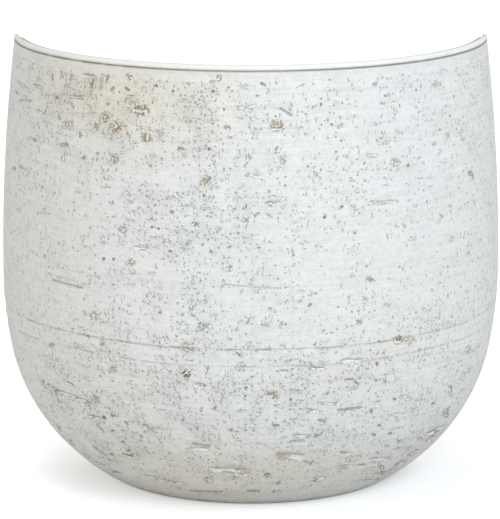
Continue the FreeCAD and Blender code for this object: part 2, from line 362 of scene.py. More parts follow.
# What marks the wall, read off the photograph in its pixels: place across and down, half length,
# half height and slope in degrees, then how dark, white and rust-coloured it is, and how deep.
marks_px = (
    (185.6, 374.6, 4.6, 4.4, 30, 1, 0, 1, 0.8),
    (398.8, 340, 4.8, 4, 0, 0.7, 0, 1, 0.5),
    (187.5, 348.5, 7.5, 5.5, 10, 0.25, 0.1, 0.55, 0.3),
    (276.9, 126.5, 7, 6, 20, 0.35, 0.3, 0.85, 0.4),
    (205.9, 181, 5.5, 4.8, -10, 0.25, 0.1, 0.8, 0.3),
    (103.5, 118.5, 5, 4.5, 20, 0.35, 0.3, 0.9, 0.4),
    (114.5, 128, 5.5, 6.5, 60, 0.4, 0.4, 1, 0.5),
    (120, 125, 5, 2, 0, 0.1, 0.8, 0.3, 0.4),
    (140, 111, 9, 5, 5, 0.35, 0.2, 1, 0.4),
    (132, 104.5, 6, 3, 5, 0.3, 0.1, 0.5, 0.3),
    (145.5, 138.5, 6, 4.5, 25, 0.6, 0.1, 0.8, 0.5),
    (114, 159, 4.2, 5, 20, 0.35, 0.2, 0.8, 0.3),
    (67, 124.5, 6, 3.5, 5, 0.2, 0.7, 0.6, 0.4),
    (95, 127, 3, 4.5, 10, 0.4, 0, 0.7, 0.3),
    (88, 76, 6.5, 2.6, 5, 0.5, 0.4, 0.9, 0.4),
    (128.5, 77, 3.6, 3.4, 0, 0.9, 0.1, 0.4, 0.6),
    (63, 157, 2.2, 5.5, 5, 0.35, 0, 0.6, 0.3),
    (130.8, 262.8, 3.8, 3.6, 5, 0.5, 0.6, 0.7, 0.4),
    (140.5, 248, 8, 2.8, 5, 0.4, 1, 0.4, 0.5),
    (436, 84, 3.6, 3.8, 0, 0.3, 0.1, 0.5, 0.2),
    (395.8, 162.7, 4.4, 4.4, 0, 0.4, 0.3, 0.5, 0.3),
    (272.5, 395.3, 6, 3.6, 5, 0.3, 0.6, 0.8, 0.4),
    (247.6, 346, 2, 5, 20, 0.4, 0, 0.7, 0.3),
    (94.9, 399.6, 4.5, 4, 20, 0.4, 0.2, 0.7, 0.3),
    (409.5, 340.5, 7, 4.5, 0, 0.2, 0.3, 0.5, 0.3),
    (151, 430.2, 4.5, 3, 5, 0.4, 0, 0.4, 0.3),
    (244.9, 220.6, 4, 2.2, 0, 0.1, 0, 0.6, 0.2),
    (155.3, 86.3, 1.9, 1.6, -30, 1, 0, 0.1, 0.9),
    (172.4, 91.6, 1.2, 1.2, 0, 0.9, 0, 0.1, 0.6),
    (180, 149, 3, 2.4, 0, 0.9, 0.9, 0.1, 0.8),
    (471, 173.6, 2.2, 2.4, 20, 0.9, 0.1, 0.1, 0.9),
    (473.5, 177.5, 1.4, 2.4, -20, 0.5, 0.3, 0, 0.4),
    (218.8, 78.3, 2.2, 3.8, 0, 0.7, 0, 0.3, 0.5),
    (212.6, 82.3, 2, 2.8, 0, 0.4, 0.1, 0.3, 0.3),
    (228.7, 87.7, 1.1, 1.1, 0, 0.8, 0, 0, 0.5),
    (244.5, 87.5, 7, 2, 3, 0.1, 0.9, 0, 0.5),
    (263.5, 84.8, 3.4, 1.3, 30, 0.7, 0, 0, 0.5),
    (257.2, 96.3, 1.5, 1.3, 0, 0.8, 0.3, 0, 0.5),
    (248, 107, 9, 2.2, -8, 0.2, 0.6, 0, 0.4),
    (286, 112, 7.5, 1.3, 32, 0.6, 0, 0, 0.4),
    (277.5, 150.5, 4.5, 2.6, -40, 0.7, 0.8, 0.1, 0.6),
    (282.7, 161, 2.6, 4.2, -10, 0.5, 0.7, 0, 0.5),
    (201.4, 96.6, 1, 1.4, 0, 0.6, 0, 0.1, 0.4),
    (194.7, 102.9, 1.3, 1.3, 0, 0.8, 0.2, 0.1, 0.5),
    (212.9, 91.7, 1.4, 1.2, 0, 0.8, 0, 0.3, 0.5),
    (223.8, 109.8, 1.2, 1.5, 0, 0.8, 0, 0, 0.5),
    (209, 149.3, 1.7, 1.5, 0, 0.9, 0, 0, 0.6),
    (213.9, 156.9, 2.6, 1.2, -30, 0.6, 0.6, 0, 0.5),
    (227.3, 128.3, 3.6, 2.2, 10, 0.7, 0.4, 0, 0.4),
    (249.5, 126, 0.9, 2.6, 10, 0.6, 0, 0, 0.4),
    (249.2, 157.3, 2.6, 3.2, 20, 0.5, 0, 0, 0.4),
    (253.5, 175.8, 9, 2.6, 4, 0.3, 0.9, 0, 0.6),
    (226.9, 178.8, 1.8, 4, -15, 0.6, 0.1, 0, 0.4),
    (305.9, 134.6, 1.3, 1.6, 0, 0.7, 0, 0, 0.5),
    (308.1, 167.1, 1.2, 1.5, 0, 0.7, 0, 0, 0.5),
    (317, 120, 1.3, 1.9, 0, 0.8, 0.2, 0, 0.5),
    (316.5, 175, 3, 1.6, -20, 0.7, 0.2, 0, 0.5),
    (330.3, 80.4, 1.2, 1, 0, 0.8, 0.4, 0, 0.4),
    (376.5, 84.5, 3.6, 2, -15, 0.6, 1, 0, 0.5),
    (386, 96.2, 1.2, 1.2, 0, 0.9, 0.2, 0, 0.5),
    (416.8, 90.2, 1, 1.4, 0, 0.6, 0, 0, 0.4),
    (321.7, 104.8, 1.2, 1.5, 0, 0.8, 0, 0, 0.5),
    (332.1, 125.1, 1.5, 1.3, 0, 0.8, 0, 0, 0.5),
    (341, 126.5, 4, 2, -30, 0.6, 0.4, 0.1, 0.4),
    (341.8, 139.8, 1, 2, 0, 0.8, 0, 0, 0.5),
    (328.4, 138.4, 1.1, 1.2, 0, 0.7, 0, 0, 0.4),
    (354.6, 116.8, 0.9, 2.2, 0, 0.6, 0, 0, 0.4),
    (382.3, 135.8, 1.6, 4, 0, 0.6, 1, 0, 0.7),
    (440.5, 129.8, 1.1, 1.1, 0, 0.7, 0, 0, 0.4),
    (450.5, 115.9, 1.1, 1.2, 0, 0.6, 0, 0, 0.4),
    (372.5, 156, 6, 2.4, 0, 0.4, 1, 0.1, 0.6),
    (434.8, 144.4, 2.2, 2.2, 0, 0.5, 0.5, 0, 0.4),
    (409, 165.8, 1.4, 1.4, 0, 0.8, 0, 0, 0.5),
    (352, 180.5, 3.6, 1.6, 40, 0.5, 0.3, 0, 0.4),
    (386, 178.8, 2.8, 0.9, 45, 0.5, 0.3, 0, 0.4),
    (383.5, 202.6, 15, 2.2, -4, 0.3, 1, 0.1, 0.9),
    (342.1, 207.2, 2.2, 1.3, -30, 0.8, 0.1, 0, 0.5),
    (324.9, 217.4, 1.5, 1.4, 0, 0.8, 0, 0, 0.5),
    (321, 196.4, 1, 2.4, -10, 0.7, 0, 0, 0.4),
    (354.5, 208.5, 2, 4, 0, 0.4, 0.7, 0, 0.4),
    (372.7, 216.1, 1, 2.4, 0, 0.6, 0, 0, 0.4),
    (355.5, 232.2, 1.5, 2.6, 10, 0.8, 0, 0, 0.5),
    (442.2, 216.1, 2.6, 1.3, 40, 0.6, 0.2, 0, 0.4),
    (405.2, 225.1, 2.2, 2.4, 0, 0.6, 0.4, 0, 0.4),
    (388, 235.9, 0.9, 3.2, -15, 0.5, 0, 0, 0.4),
    (370.3, 280, 3.8, 3, 0, 0.7, 1, 0, 0.7),
    (359.1, 322.2, 3.2, 3, 0, 0.6, 1, 0, 0.6),
    (365.5, 298.8, 3.6, 1.6, 30, 0.4, 0.6, 0.1, 0.4),
    (349.1, 298.4, 1.1, 3.2, 0, 0.6, 0, 0, 0.4),
    (310.2, 305.4, 2.4, 1.5, -20, 0.7, 0, 0, 0.5),
    (66.5, 280, 19, 1.5, 15, 0.2, 1, 0.1, 0.8),
    (66, 284, 16.5, 1, 15, 0.6, 0, 0.1, 0.5),
    (122.3, 229.7, 4.4, 4.4, 20, 0.6, 0.5, 0, 0.4),
    (82.6, 240, 1, 5, 10, 0.5, 0, 0, 0.4),
    (89.7, 197.1, 0.9, 4.6, 0, 0.5, 0, 0, 0.4),
    (89.5, 280, 1, 5, 10, 0.6, 0.1, 0, 0.5),
    (92.9, 315.5, 4.2, 4.6, 30, 0.6, 0.8, 0, 0.6),
    (103.1, 258.9, 1.5, 1.4, 0, 0.9, 0, 0, 0.6),
    (113, 259.2, 1.3, 1.3, 0, 0.9, 0, 0, 0.5),
    (110.7, 202.5, 2.6, 2.4, 20, 0.6, 0.1, 0, 0.4),
    (131, 203, 1.8, 1.4, 0, 0.7, 0.7, 0, 0.5),
    (203.3, 195.6, 1.6, 1.5, 0, 0.8, 0.2, 0, 0.5),
    (177.5, 197.5, 5, 2.2, 30, 0.6, 0.5, 0, 0.5),
    (171.8, 212.2, 2.2, 1.5, 0, 0.9, 0.3, 0, 0.5),
    (151.5, 218.1, 0.9, 2.6, 0, 0.7, 0, 0, 0.4),
    (151.7, 227.4, 1.5, 1.3, 0, 0.9, 0, 0, 0.5),
    (158.2, 229.1, 1.3, 1.3, 0, 0.9, 0, 0, 0.5),
    (195, 224.7, 3.8, 2.4, 15, 0.7, 0.1, 0.1, 0.5),
    (218.1, 229.5, 1.8, 3, -15, 0.7, 0.1, 0, 0.5),
    (270.5, 203.8, 5, 3, 0, 0.6, 1, 0, 0.6),
    (246.1, 207.3, 1, 3.2, 5, 0.7, 0, 0, 0.5),
    (269.1, 216, 3.6, 1.2, 35, 0.5, 0.1, 0, 0.4),
    (257.5, 214.2, 2.4, 1.4, -30, 0.6, 0.1, 0, 0.4),
    (164, 242, 3.4, 1.6, -35, 0.6, 0.1, 0.1, 0.4),
    (186.4, 244.1, 1, 2.4, 0, 0.7, 0, 0, 0.5),
    (202.2, 245.1, 1.3, 1.3, 0, 0.9, 0.3, 0, 0.5),
    (210.9, 252.2, 1.4, 2.4, -20, 0.8, 0.7, 0, 0.6),
    (169.6, 251.5, 1.4, 1.6, 0, 0.8, 0, 0, 0.5),
    (228.8, 268.9, 3.6, 3, 0, 0.7, 0.6, 0, 0.5),
    (252, 287, 30, 0.9, 4, 0.35, 0.1, 0, 0.3),
    (204.3, 301.4, 2.8, 2.6, 0, 0.5, 1, 0, 0.5),
    (191, 308.4, 2, 4, 20, 0.5, 0.7, 0, 0.5),
    (159.4, 313, 2, 1.8, -30, 0.8, 0, 0.1, 0.4),
    (201.2, 326.5, 4.2, 4.4, 40, 0.6, 0, 0, 0.5),
    (248.7, 319.5, 1.4, 4.2, 15, 0.6, 0.6, 0, 0.5),
    (266.5, 324.7, 2.6, 2, 30, 0.4, 0.9, 0, 0.5),
    (281, 325, 1.6, 4.2, 15, 0.8, 0.4, 0, 0.5),
    (51, 346, 3.2, 2.4, 25, 0.6, 0.8, 0, 0.5),
    (75, 346, 3, 2.2, 15, 0.6, 0.8, 0, 0.5),
    (101, 343.5, 2.6, 4.2, -20, 0.6, 0.8, 0, 0.6),
    (87.2, 336, 1.6, 1.2, 0, 0.8, 0, 0, 0.5),
    (72.1, 329.9, 1.3, 1.8, 0, 0.8, 0, 0, 0.5),
    (112.8, 370, 3.8, 3.6, 0, 0.5, 0.3, 0.1, 0.4),
    (148, 371, 1, 4.6, 0, 0.6, 0.1, 0, 0.4),
    (69.4, 384, 4.2, 1.8, 25, 0.8, 1, 0, 0.6),
    (89.8, 381.2, 3.2, 1.2, 10, 0.3, 0.7, 0, 0.4),
    (66, 395, 24.5, 2.4, 22, 0.65, 1, 0.2, 1),
    (49.5, 391, 1, 9, -20, 0.5, 0.3, 0.3, 0.5),
    (56.5, 398.5, 1, 5.6, -20, 0.5, 0.2, 0.3, 0.5),
    (51, 409, 1, 5, -25, 0.7, 0.1, 0.1, 0.5),
    (93.4, 418, 5.6, 2.2, 12, 0.4, 0.9, 0.1, 0.6),
    (103.6, 418, 2.4, 1.4, 30, 0.9, 0, 0, 0.5),
    (112.2, 414.5, 2.4, 2.8, 0, 0.9, 0.5, 0, 0.6),
    (125.5, 423.2, 2.6, 1.3, 40, 0.7, 0.2, 0, 0.5),
    (99.5, 428.5, 6.5, 0.9, 48, 0.7, 0.3, 0, 0.5),
    (98.5, 451, 9.5, 0.9, 35, 0.7, 0.3, 0, 0.5),
    (133.7, 433.3, 4.4, 1.6, 5, 0.4, 0.9, 0, 0.5),
    (140.8, 436.3, 2.4, 1.5, 40, 0.8, 0.4, 0, 0.5),
    (144.9, 425.6, 3.2, 1.1, 5, 0.7, 0.1, 0, 0.4),
    (124.3, 455.5, 3.6, 1.8, 15, 0.7, 0.8, 0, 0.5),
    (132, 456, 3.4, 1.8, 10, 0.6, 0.8, 0, 0.5),
    (147, 452.7, 3.8, 1.5, 40, 0.6, 0.7, 0, 0.5),
    (199.3, 386.9, 6.6, 3.4, 10, 0.6, 0.7, 0, 0.6),
    (203.1, 354.4, 1.8, 1.3, 0, 0.6, 0.5, 0, 0.5),
    (206.4, 370.5, 1.5, 4.4, 10, 0.7, 0.5, 0, 0.5),
    (243.2, 364.5, 2.8, 2.6, -20, 0.6, 0.4, 0, 0.5),
    (237.5, 354.5, 4.2, 1.6, 30, 0.7, 0.1, 0, 0.5),
    (284, 372.3, 5.4, 2.4, 0, 0.5, 0.9, 0, 0.6),
    (307.5, 411.3, 8.4, 2.3, 0, 0.5, 1, 0, 0.8),
    (245.4, 396.2, 1.4, 1.6, 0, 0.9, 0.1, 0, 0.5),
    (246, 387.8, 1.9, 1.2, -30, 0.8, 0, 0, 0.5),
    (298.3, 390.7, 1.6, 1.4, 0, 0.8, 0.3, 0, 0.5),
    (290.6, 400, 1.4, 1.2, 0, 0.8, 0, 0, 0.5),
    (214.7, 407.8, 1.7, 1.4, 20, 0.8, 0.1, 0, 0.5),
    (182.5, 421, 1.7, 1.7, 0, 0.9, 0.1, 0, 0.6),
    (196.6, 428.6, 4, 2.6, 5, 0.5, 1, 0, 0.6),
    (231.6, 430.6, 2.4, 1.4, 35, 0.9, 0.4, 0, 0.6),
    (276, 425.6, 3.4, 1.2, 0, 0.8, 0.1, 0, 0.5),
    (286.5, 423, 4.2, 1.6, 40, 0.7, 0.5, 0, 0.5),
    (302, 436.6, 9, 1.9, 0, 0.6, 0.8, 0, 0.7),
    (297.5, 441.2, 8, 1.4, -5, 0.6, 0.3, 0.1, 0.6),
    (201, 445, 9.5, 1.2, 10, 0.7, 0.2, 0, 0.5),
    (198.5, 449.5, 10, 2.6, 0, 0.4, 1, 0.1, 0.8),
    (257, 443.8, 8, 1.1, 0, 0.3, 0.8, 0, 0.5),
    (316.5, 369, 8, 1.8, 0, 0.5, 1, 0, 0.7),
    (352, 361.5, 11, 3.2, -4, 0.4, 1, 0.1, 0.8),
    (377.2, 363.8, 1.8, 1.8, 0, 0.9, 0.6, 0, 0.6),
    (350, 379.4, 4.4, 0.9, 0, 0.7, 0.1, 0.1, 0.4),
    (356.5, 383, 2.4, 1.2, 30, 0.8, 0.1, 0, 0.5),
    (376.6, 380.6, 1.6, 1.4, 0, 0.7, 0.1, 0.1, 0.4),
    (385.7, 381.2, 1.1, 2, 0, 0.7, 0.1, 0, 0.4),
    (451.2, 389.2, 1.6, 3.8, 0, 0.9, 0.2, 0, 0.7),
    (469.2, 349.5, 2.4, 4.4, 20, 0.6, 0.9, 0, 0.6),
    (446.9, 414.5, 3.2, 3.6, 30, 0.8, 0.6, 0.2, 0.6),
    (350, 409, 12.5, 1.2, -8, 0.7, 0.2, 0, 0.5),
    (327.5, 404, 10, 1.8, 0, 0.4, 0.9, 0.1, 0.5),
    (322.1, 420.8, 4, 1.4, 15, 0.7, 0, 0.2, 0.5),
    (379.7, 425.4, 1.8, 1.3, -20, 0.8, 0.1, 0, 0.5),
    (371.8, 410.9, 2.2, 2.4, 30, 0.8, 0.4, 0, 0.5),
    (374.2, 434.7, 2.6, 1.2, 0, 0.9, 0.1, 0, 0.5),
    (390.6, 433.6, 1.8, 1.3, -30, 0.7, 0.1, 0, 0.5),
    (346.5, 453.8, 6.4, 2.6, 5, 0.5, 1, 0.2, 0.7),
    (347.5, 460.2, 4.6, 2, 0, 0.6, 0.8, 0.1, 0.6),
    (382, 459.6, 12, 2.6, -5, 0.5, 0.8, 0.3, 0.8),
    (353, 466.8, 15, 2.2, -4, 0.5, 0.9, 0.2, 0.8),
    (438.5, 430, 11, 1.9, -29, 1, 1, 0, 0.8),
    (290.5, 456.6, 14.5, 4.6, 3, 0.3, 0.7, 1, 1),
    (229, 470.5, 21, 2.8, 2, 0.4, 1, 0.6, 1),
    (240, 475, 10, 1.8, 0, 0.3, 1, 0.6, 0.8),
    (208.5, 480.5, 5, 2.4, 20, 0.5, 0.7, 0.6, 0.7),
    (236, 478.8, 5, 1.8, 15, 0.4, 1, 0.3, 0.6),
    (266.8, 475.8, 3.6, 2.4, -30, 0.8, 1, 0.1, 0.7),
    (278.5, 483, 2.8, 1.4, -30, 0.8, 0.3, 0, 0.5),
    (319.5, 479.2, 7, 2.2, -10, 0.6, 1, 0.3, 0.7),
    (277, 491.6, 5, 1.5, 0, 0.9, 0.6, 0.2, 0.6),
    (253.5, 490.7, 7, 1.1, 0, 0.7, 0.1, 0.3, 0.4),
    (205, 491, 17, 1, 2, 0.6, 0.1, 0.5, 0.4),
    (163, 480, 20, 1.6, 12, 0.5, 0.5, 0.5, 0.6),
    (318.5, 435.5, 5, 1.2, -25, 0.8, 0.3, 0, 0.5),
    (312, 463, 4, 1.6, -30, 0.8, 0.8, 0, 0.6),
    (308, 462, 5.5, 1.2, 15, 0.7, 0.6, 0, 0.5),
    (40, 112.7, 5, 1.6, 30, 0.6, 0.6, 0, 0.5),
    (76.5, 97.5, 8, 2.2, 3, 0.5, 0.9, 0.2, 0.7),
    (100.5, 83, 1.2, 6, 12, 0.5, 0.1, 0.3, 0.4),
    (90.5, 91, 1.2, 5, 15, 0.6, 0.1, 0.3, 0.4),
    (127, 89.5, 3, 1.3, 35, 0.9, 0.1, 0.2, 0.5),
    (130.5, 97, 5.5, 1.6, 0, 0.4, 0.5, 0.5, 0.4),
    (145, 128, 6, 1.4, 8, 0.3, 0.8, 0.2, 0.4),
    (463.5, 376, 5, 1.4, -55, 0.5, 0.8, 0, 0.5),
    (470, 370.5, 4, 1.4, -55, 0.4, 0.8, 0, 0.4),
    (434, 436, 5, 1.3, -28, 0.6, 1, 0, 0.5),
    (432, 439, 6, 1.5, -38, 0.9, 0.9, 0, 0.6),
    (421, 438.5, 2.5, 1.6, -20, 0.8, 0.2, 0, 0.5),
    (399.5, 442, 3, 1.6, -10, 0.7, 0.3, 0, 0.5),
    (388, 446, 2.5, 1.4, 0, 0.6, 0.3, 0, 0.4),
    (383, 467.5, 3, 2, 30, 0.8, 0.6, 0.1, 0.6),
    (389.5, 471, 8, 1.6, -22, 1, 0.8, 0, 0.6),
    (402.5, 462.5, 8, 1.6, -28, 1, 1, 0, 0.6),
    (414.5, 453, 7, 1.6, -32, 1, 1, 0, 0.6),
    (424.5, 445, 6, 1.6, -38, 1, 1, 0, 0.5),
    (410, 448, 4, 1.2, -25, 0.6, 0.3, 0, 0.4),
    (380, 474, 6, 1.6, -5, 0.7, 0.4, 0.1, 0.5),
    (378, 453, 2.4, 1.3, 30, 0.7, 0.3, 0, 0.4),
    (395, 399.5, 1.6, 1.4, 0, 0.9, 0.2, 0, 0.5),
    (434, 404, 2, 1.2, -20, 0.7, 0.2, 0, 0.4),
    (449.5, 409, 2.2, 1.6, -60, 0.8, 0.4, 0, 0.5),
    (43, 384, 6, 1.3, 65, 0.7, 0.4, 0, 0.5),
    (50.5, 401.5, 5, 1.1, 35, 0.6, 0.8, 0, 0.4),
    (93.5, 417.5, 6, 1.9, 10, 0.7, 0.9, 0.1, 0.6),
    (88.5, 407, 3.5, 1.4, 60, 0.6, 0.5, 0, 0.4),
    (122, 442, 2.2, 1.5, 20, 0.9, 0.3, 0, 0.5),
    (128, 451, 1.7, 1.5, 0, 0.9, 0.3, 0, 0.4),
    (127, 456.8, 5, 1.8, 10, 0.8, 0.8, 0, 0.6),
    (111, 454.5, 2.4, 1.3, 10, 0.8, 0.3, 0, 0.4),
    (133.5, 434, 5, 1.7, 5, 0.6, 0.8, 0.1, 0.5),
    (112, 431, 1.5, 1.3, 0, 0.9, 0.2, 0, 0.4),
    (70, 442.5, 6, 1.5, 45, 0.9, 0.7, 0, 0.4),
    (86, 456, 7, 1.5, 38, 0.9, 0.7, 0, 0.4),
    (57.5, 428, 5, 1.5, 54, 0.9, 0.7, 0, 0.5),
    (99, 464, 7, 1.5, 32, 0.9, 0.7, 0, 0.5),
    (113, 471.5, 8, 1.5, 25, 0.9, 0.7, 0, 0.5),
    # These three dark streaks along the lower right of the outline are partly painted shade,
    # darkening the wall near the foot.
    (374, 479.5, 8, 1.6, -12, 1, 0.6, 0.1, 0.5),
    (396.5, 456, 5, 1.3, -25, 0.8, 0.3, 0, 0.4),
    (419, 443.5, 5, 1.2, -35, 0.8, 0.3, 0, 0.4),
    (111, 461.5, 6, 1.4, 22, 0.5, 0.8, 0, 0.4),
    (20, 84, 4.5, 1.6, 40, 0.4, 0.9, 0, 0.4),
    (27, 90, 4, 1.3, 45, 0.6, 0.8, 0, 0.4),
    (16, 93, 4, 1.3, 50, 0.6, 0.7, 0, 0.4),
    (24, 100.5, 7, 1, 3, 0.6, 0.4, 0, 0.4),
    (37, 86.5, 5.5, 1.6, 18, 0.8, 0.8, 0.1, 0.5),
    (51.5, 78, 3.5, 1.3, 75, 0.8, 0.4, 0.1, 0.4),
    (56.5, 98, 1.9, 1.5, 50, 0.9, 0.1, 0.1, 0.5),
    (61, 75, 3.5, 1.2, 75, 0.7, 0.5, 0.2, 0.4),
    (70.5, 77, 3.5, 1.2, -70, 0.7, 0.5, 0.2, 0.4),
    (91.5, 84, 5, 1.3, -70, 0.8, 0.3, 0.3, 0.4),
    (107, 78.5, 4.5, 1.2, -75, 0.7, 0.3, 0.2, 0.4),
    (112, 89, 2.5, 1.4, -60, 0.8, 0.3, 0.1, 0.4),
    (71.5, 106, 3.5, 1.3, 70, 0.7, 0.3, 0.2, 0.4),
    (107, 104, 1.7, 1.5, 0, 0.8, 0.2, 0.1, 0.4),
    (57.5, 118, 3, 1.9, 60, 0.7, 0.7, 0.1, 0.5),
    (79, 135, 4, 2.2, 50, 0.7, 0.5, 0.1, 0.5),
    (62, 145.5, 6, 2.3, -5, 0.65, 0.8, 0, 0.5),
    (34.5, 140.5, 2.1, 1.7, 45, 0.8, 0.2, 0, 0.4),
    (97, 154, 1.9, 1.5, 30, 0.8, 0.2, 0, 0.4),
    (83.5, 158, 2.6, 1.3, -70, 0.8, 0.3, 0, 0.4),
    (134, 142.5, 1.9, 1.7, 0, 0.9, 0.2, 0, 0.4),
    (128, 135.5, 3, 1.4, 60, 0.8, 0.5, 0, 0.4),
    (13, 168.5, 2.2, 1.8, 45, 0.8, 0.3, 0, 0.4),
    (20.5, 167.5, 3, 1.4, 30, 0.7, 0.4, 0, 0.4),
    (78, 129.8, 17, 0.8, 2, 0.16, 0.2, 0, 0.3),
    (82, 113.6, 16, 0.8, 1, 0.16, 0.2, 0.1, 0.3),
    (52, 95.8, 9, 0.8, 4, 0.24, 0.2, 0, 0.3),
)
mark_layers = 4
mark_margin_px = 3.6
mark_territory_px = 8.0
mark_stretch_limit = 3.6
deep_mark_px = 1.7
dent_reach = (0.5, 1.1)
crumbled_px = 1.5
crumbled_white = 0.85
rusty_dark = 0.60
long_mark = 2.0
long_rust = 0.55
deep_mark_depth = 0.0007
metres_per_px = camera_distance / focal_px


def stretch_at(across, down):
    """The two directions on the wall of one pixel across and one down, kept from running away."""
    steps = []
    for x, y in ((1.0, 0.0), (0.0, 1.0)):
        before, after = on_wall(across - x, down - y), on_wall(across + x, down + y)
        if before is None or after is None:
            return None
        step = (after - before) / 2
        length = np.hypot(*step)
        steps.append(step * min(1.0, mark_stretch_limit * metres_per_px / length))
    return np.stack(steps, 1)


# Each mark lies on the first layer where no other mark is near. A layer keeps, for each vertex,
# how far the nearest mark's centre is along and across that mark, in its half widths, and how
# long the mark is.
mark_place = np.zeros((mark_layers, len(run), 3))
mark_look = np.zeros((mark_layers, len(run), 3))
mark_near = np.full((mark_layers, len(run)), np.inf)
mark_taken = np.zeros((mark_layers, len(run)), bool)
mark_dent = np.zeros(len(run))
wall_points = np.stack([round_belly, run], 1)
for across, down, long_px, high_px, slope, dark, white, rust, deep in marks_px:
    centre, stretch = on_wall(across, down), stretch_at(across, down)
    if centre is None or stretch is None:
        continue
    if high_px > crumbled_px:
        white = max(white, crumbled_white)
    if high_px > long_px:
        long_px, high_px, slope = high_px, long_px, slope + 90
    if long_px > long_mark * high_px:
        rust *= long_rust
    dark = max(dark, rusty_dark * rust)
    pixels = (wall_points - centre) @ np.linalg.inv(stretch).T
    angle = math.radians(slope)
    along = pixels @ np.array([math.cos(angle), math.sin(angle)])
    aside = pixels @ np.array([-math.sin(angle), math.cos(angle)])
    reach = np.hypot(along / (long_px + mark_margin_px), aside / (high_px + mark_margin_px))
    wide = np.hypot(along / (long_px + mark_territory_px), aside / (high_px + mark_territory_px))
    inside = outside & (reach < 1)
    free = [k for k in range(mark_layers) if not (mark_taken[k] & inside).any()]
    if not free:
        continue
    k = free[0]
    own = outside & (wide < 1) & (wide < mark_near[k])
    mark_near[k][own] = wide[own]
    mark_place[k][own, 0] = along[own] / high_px
    mark_place[k][own, 1] = aside[own] / high_px
    mark_place[k][own, 2] = long_px / high_px
    mark_look[k][own] = 0.0
    mark_look[k][inside] = (dark, white, rust)
    mark_taken[k] |= outside & (wide < 1)
    if high_px > deep_mark_px:
        core = 1 - smooth(np.hypot(along / long_px, aside / high_px), *dent_reach)
        mark_dent = np.maximum(mark_dent, np.where(outside, core, 0) * deep * deep_mark_depth)
for k in range(mark_layers):
    write_points(bowl_mesh, f"mark_place_{k}", mark_place[k])
    write_points(bowl_mesh, f"mark_look_{k}", mark_look[k])

# Broad washes, in the photograph's pixels too: place, half width and half height, then how stained
# and how pitted the glaze is there. The stain column also carries painted shade in the last row.
washes_px = (
    (120, 100, 110, 42, 0.85, 0.25),
    (70, 90, 60, 25, 0.15, 0.3),
    (230, 470, 190, 32, 0.75, 0.2),
    (200, 200, 110, 150, 0.0, 0.55),
    (300, 400, 170, 70, 0.0, 0.45),
    (130, 400, 90, 60, 0.1, 0.35),
    (60, 260, 60, 100, 0.0, -0.20),
    (50, 90, 60, 50, 0.0, 0.55),
    (95, 400, 60, 60, 0.0, 0.15),
    (400, 270, 90, 60, 0.0, -0.3),
    (420, 130, 90, 60, 0.0, 0.1),
    (390, 350, 40, 16, 0.35, 0.1),
    (330, 380, 60, 20, 0.3, 0.1),
    (205, 492, 150, 14, 1.0, 0.1),
    (302, 210, 40, 120, 0.0, -0.20),
    (302, 90, 50, 30, 0.0, -0.15),
    (60, 390, 50, 60, 0.0, 0.20),
    (430, 330, 40, 30, 0.0, 0.30),
    (425, 440, 50, 40, 0.1, 0.60),
    (110, 440, 60, 30, 0.0, 0.35),
    # Painted shade: this wash darkens the lower right near the foot, laid on through the stain.
    (372, 476, 66, 15, 0.55, 0.1),
)
base_grit = 0.41
grit_range = (0.1, 1.0)
wash = np.zeros((len(run), 2))
for across, down, wide_px, high_px, stain_and_shade, grit in washes_px:
    centre = on_wall(across, down)
    offset = (wall_points - centre) / (np.array([wide_px, high_px]) * metres_per_px)
    soft = np.exp(-(offset ** 2).sum(1))
    wash += soft[:, None] * np.array([stain_and_shade, grit])
wash[:, 1] = np.clip(wash[:, 1] + base_grit, *grit_range)
clean_band = (0.0055, 0.0080)
inside_grit = 0.2
inside_stain = 0.15
bare_edge = 0.0006
crease_clay_and_shade_reach = 0.0009
edge_inset = 0.0026
edge_half_width = 0.0009
edge_hardness = 2.0
clean = smooth(rim_height - height, *clean_band)
write_points(bowl_mesh, "stain_and_shade", np.where(outside, wash[:, 0], inside_stain), "FLOAT")
write_points(bowl_mesh, "grit", np.where(outside, wash[:, 1] * clean, inside_grit), "FLOAT")
write_points(bowl_mesh, "bare", outside * (1 - smooth(height, bare_edge, 2 * bare_edge)), "FLOAT")
# A dark line along the crease under the lip: partly bare clay where the glaze breaks, partly painted
# shade in the groove.
below_rim = np.abs(height - rim_height + crease_drop)
crease_clay_and_shade = 1 - np.clip(below_rim / crease_clay_and_shade_reach, 0, 1)
write_points(bowl_mesh, "crease", np.where(outside, crease_clay_and_shade, 0.0), "FLOAT")
# A grey line along the inner edge of the lip: partly glaze thinning over the edge, partly painted
# shade where the lip turns away.
edge_from = np.abs(wall_radius(rim_height) - out_from_axis - edge_inset) / edge_half_width
inner_edge_glaze_and_shade = np.clip(edge_hardness * (1 - edge_from), 0, 1)
on_lip = outside & (height > rim_height)
write_points(bowl_mesh, "edge", np.where(on_lip, inner_edge_glaze_and_shade, 0.0), "FLOAT")
# The crest of the lip is painted whiter: a painted highlight where light from above falls on its
# top.
painted_lip_highlight = smooth(height, rim_height, rim_height + lip_rise / 2)
write_points(bowl_mesh, "lip", np.where(outside, painted_lip_highlight, 0.0), "FLOAT")

# The turned relief: throwing lines, a slow unevenness, small lumps, the rings and the faint turned
# lines, and the crease under the lip. It dies away at the foot and at the rim.
throwing_depth = 0.00030
throwing_pitch = 0.0045
throwing_round = 1.3
throwing_seed = 2.0
uneven_depth = 0.0006
uneven_size = 0.060
lump_depth = 0.00014
lump_size = 0.007
drift_round = 2.0
drift_seed = 5.0
ring_round = 9.0
ring_seed = 7.0
ring_usual = 0.75
ring_change = 0.5
ring_limits = (0.2, 1.2)
ring_shade_width = 0.0006
ring_shade_gaps = 0.45
foot_calm = 0.02
rim_calm_from = 0.006
rim_calm_to = 0.001
steepest_fall = 0.95


def raised(values):
    """Noise from -1 to 1 laid between 0 and 1."""
    return 0.5 + 0.5 * values


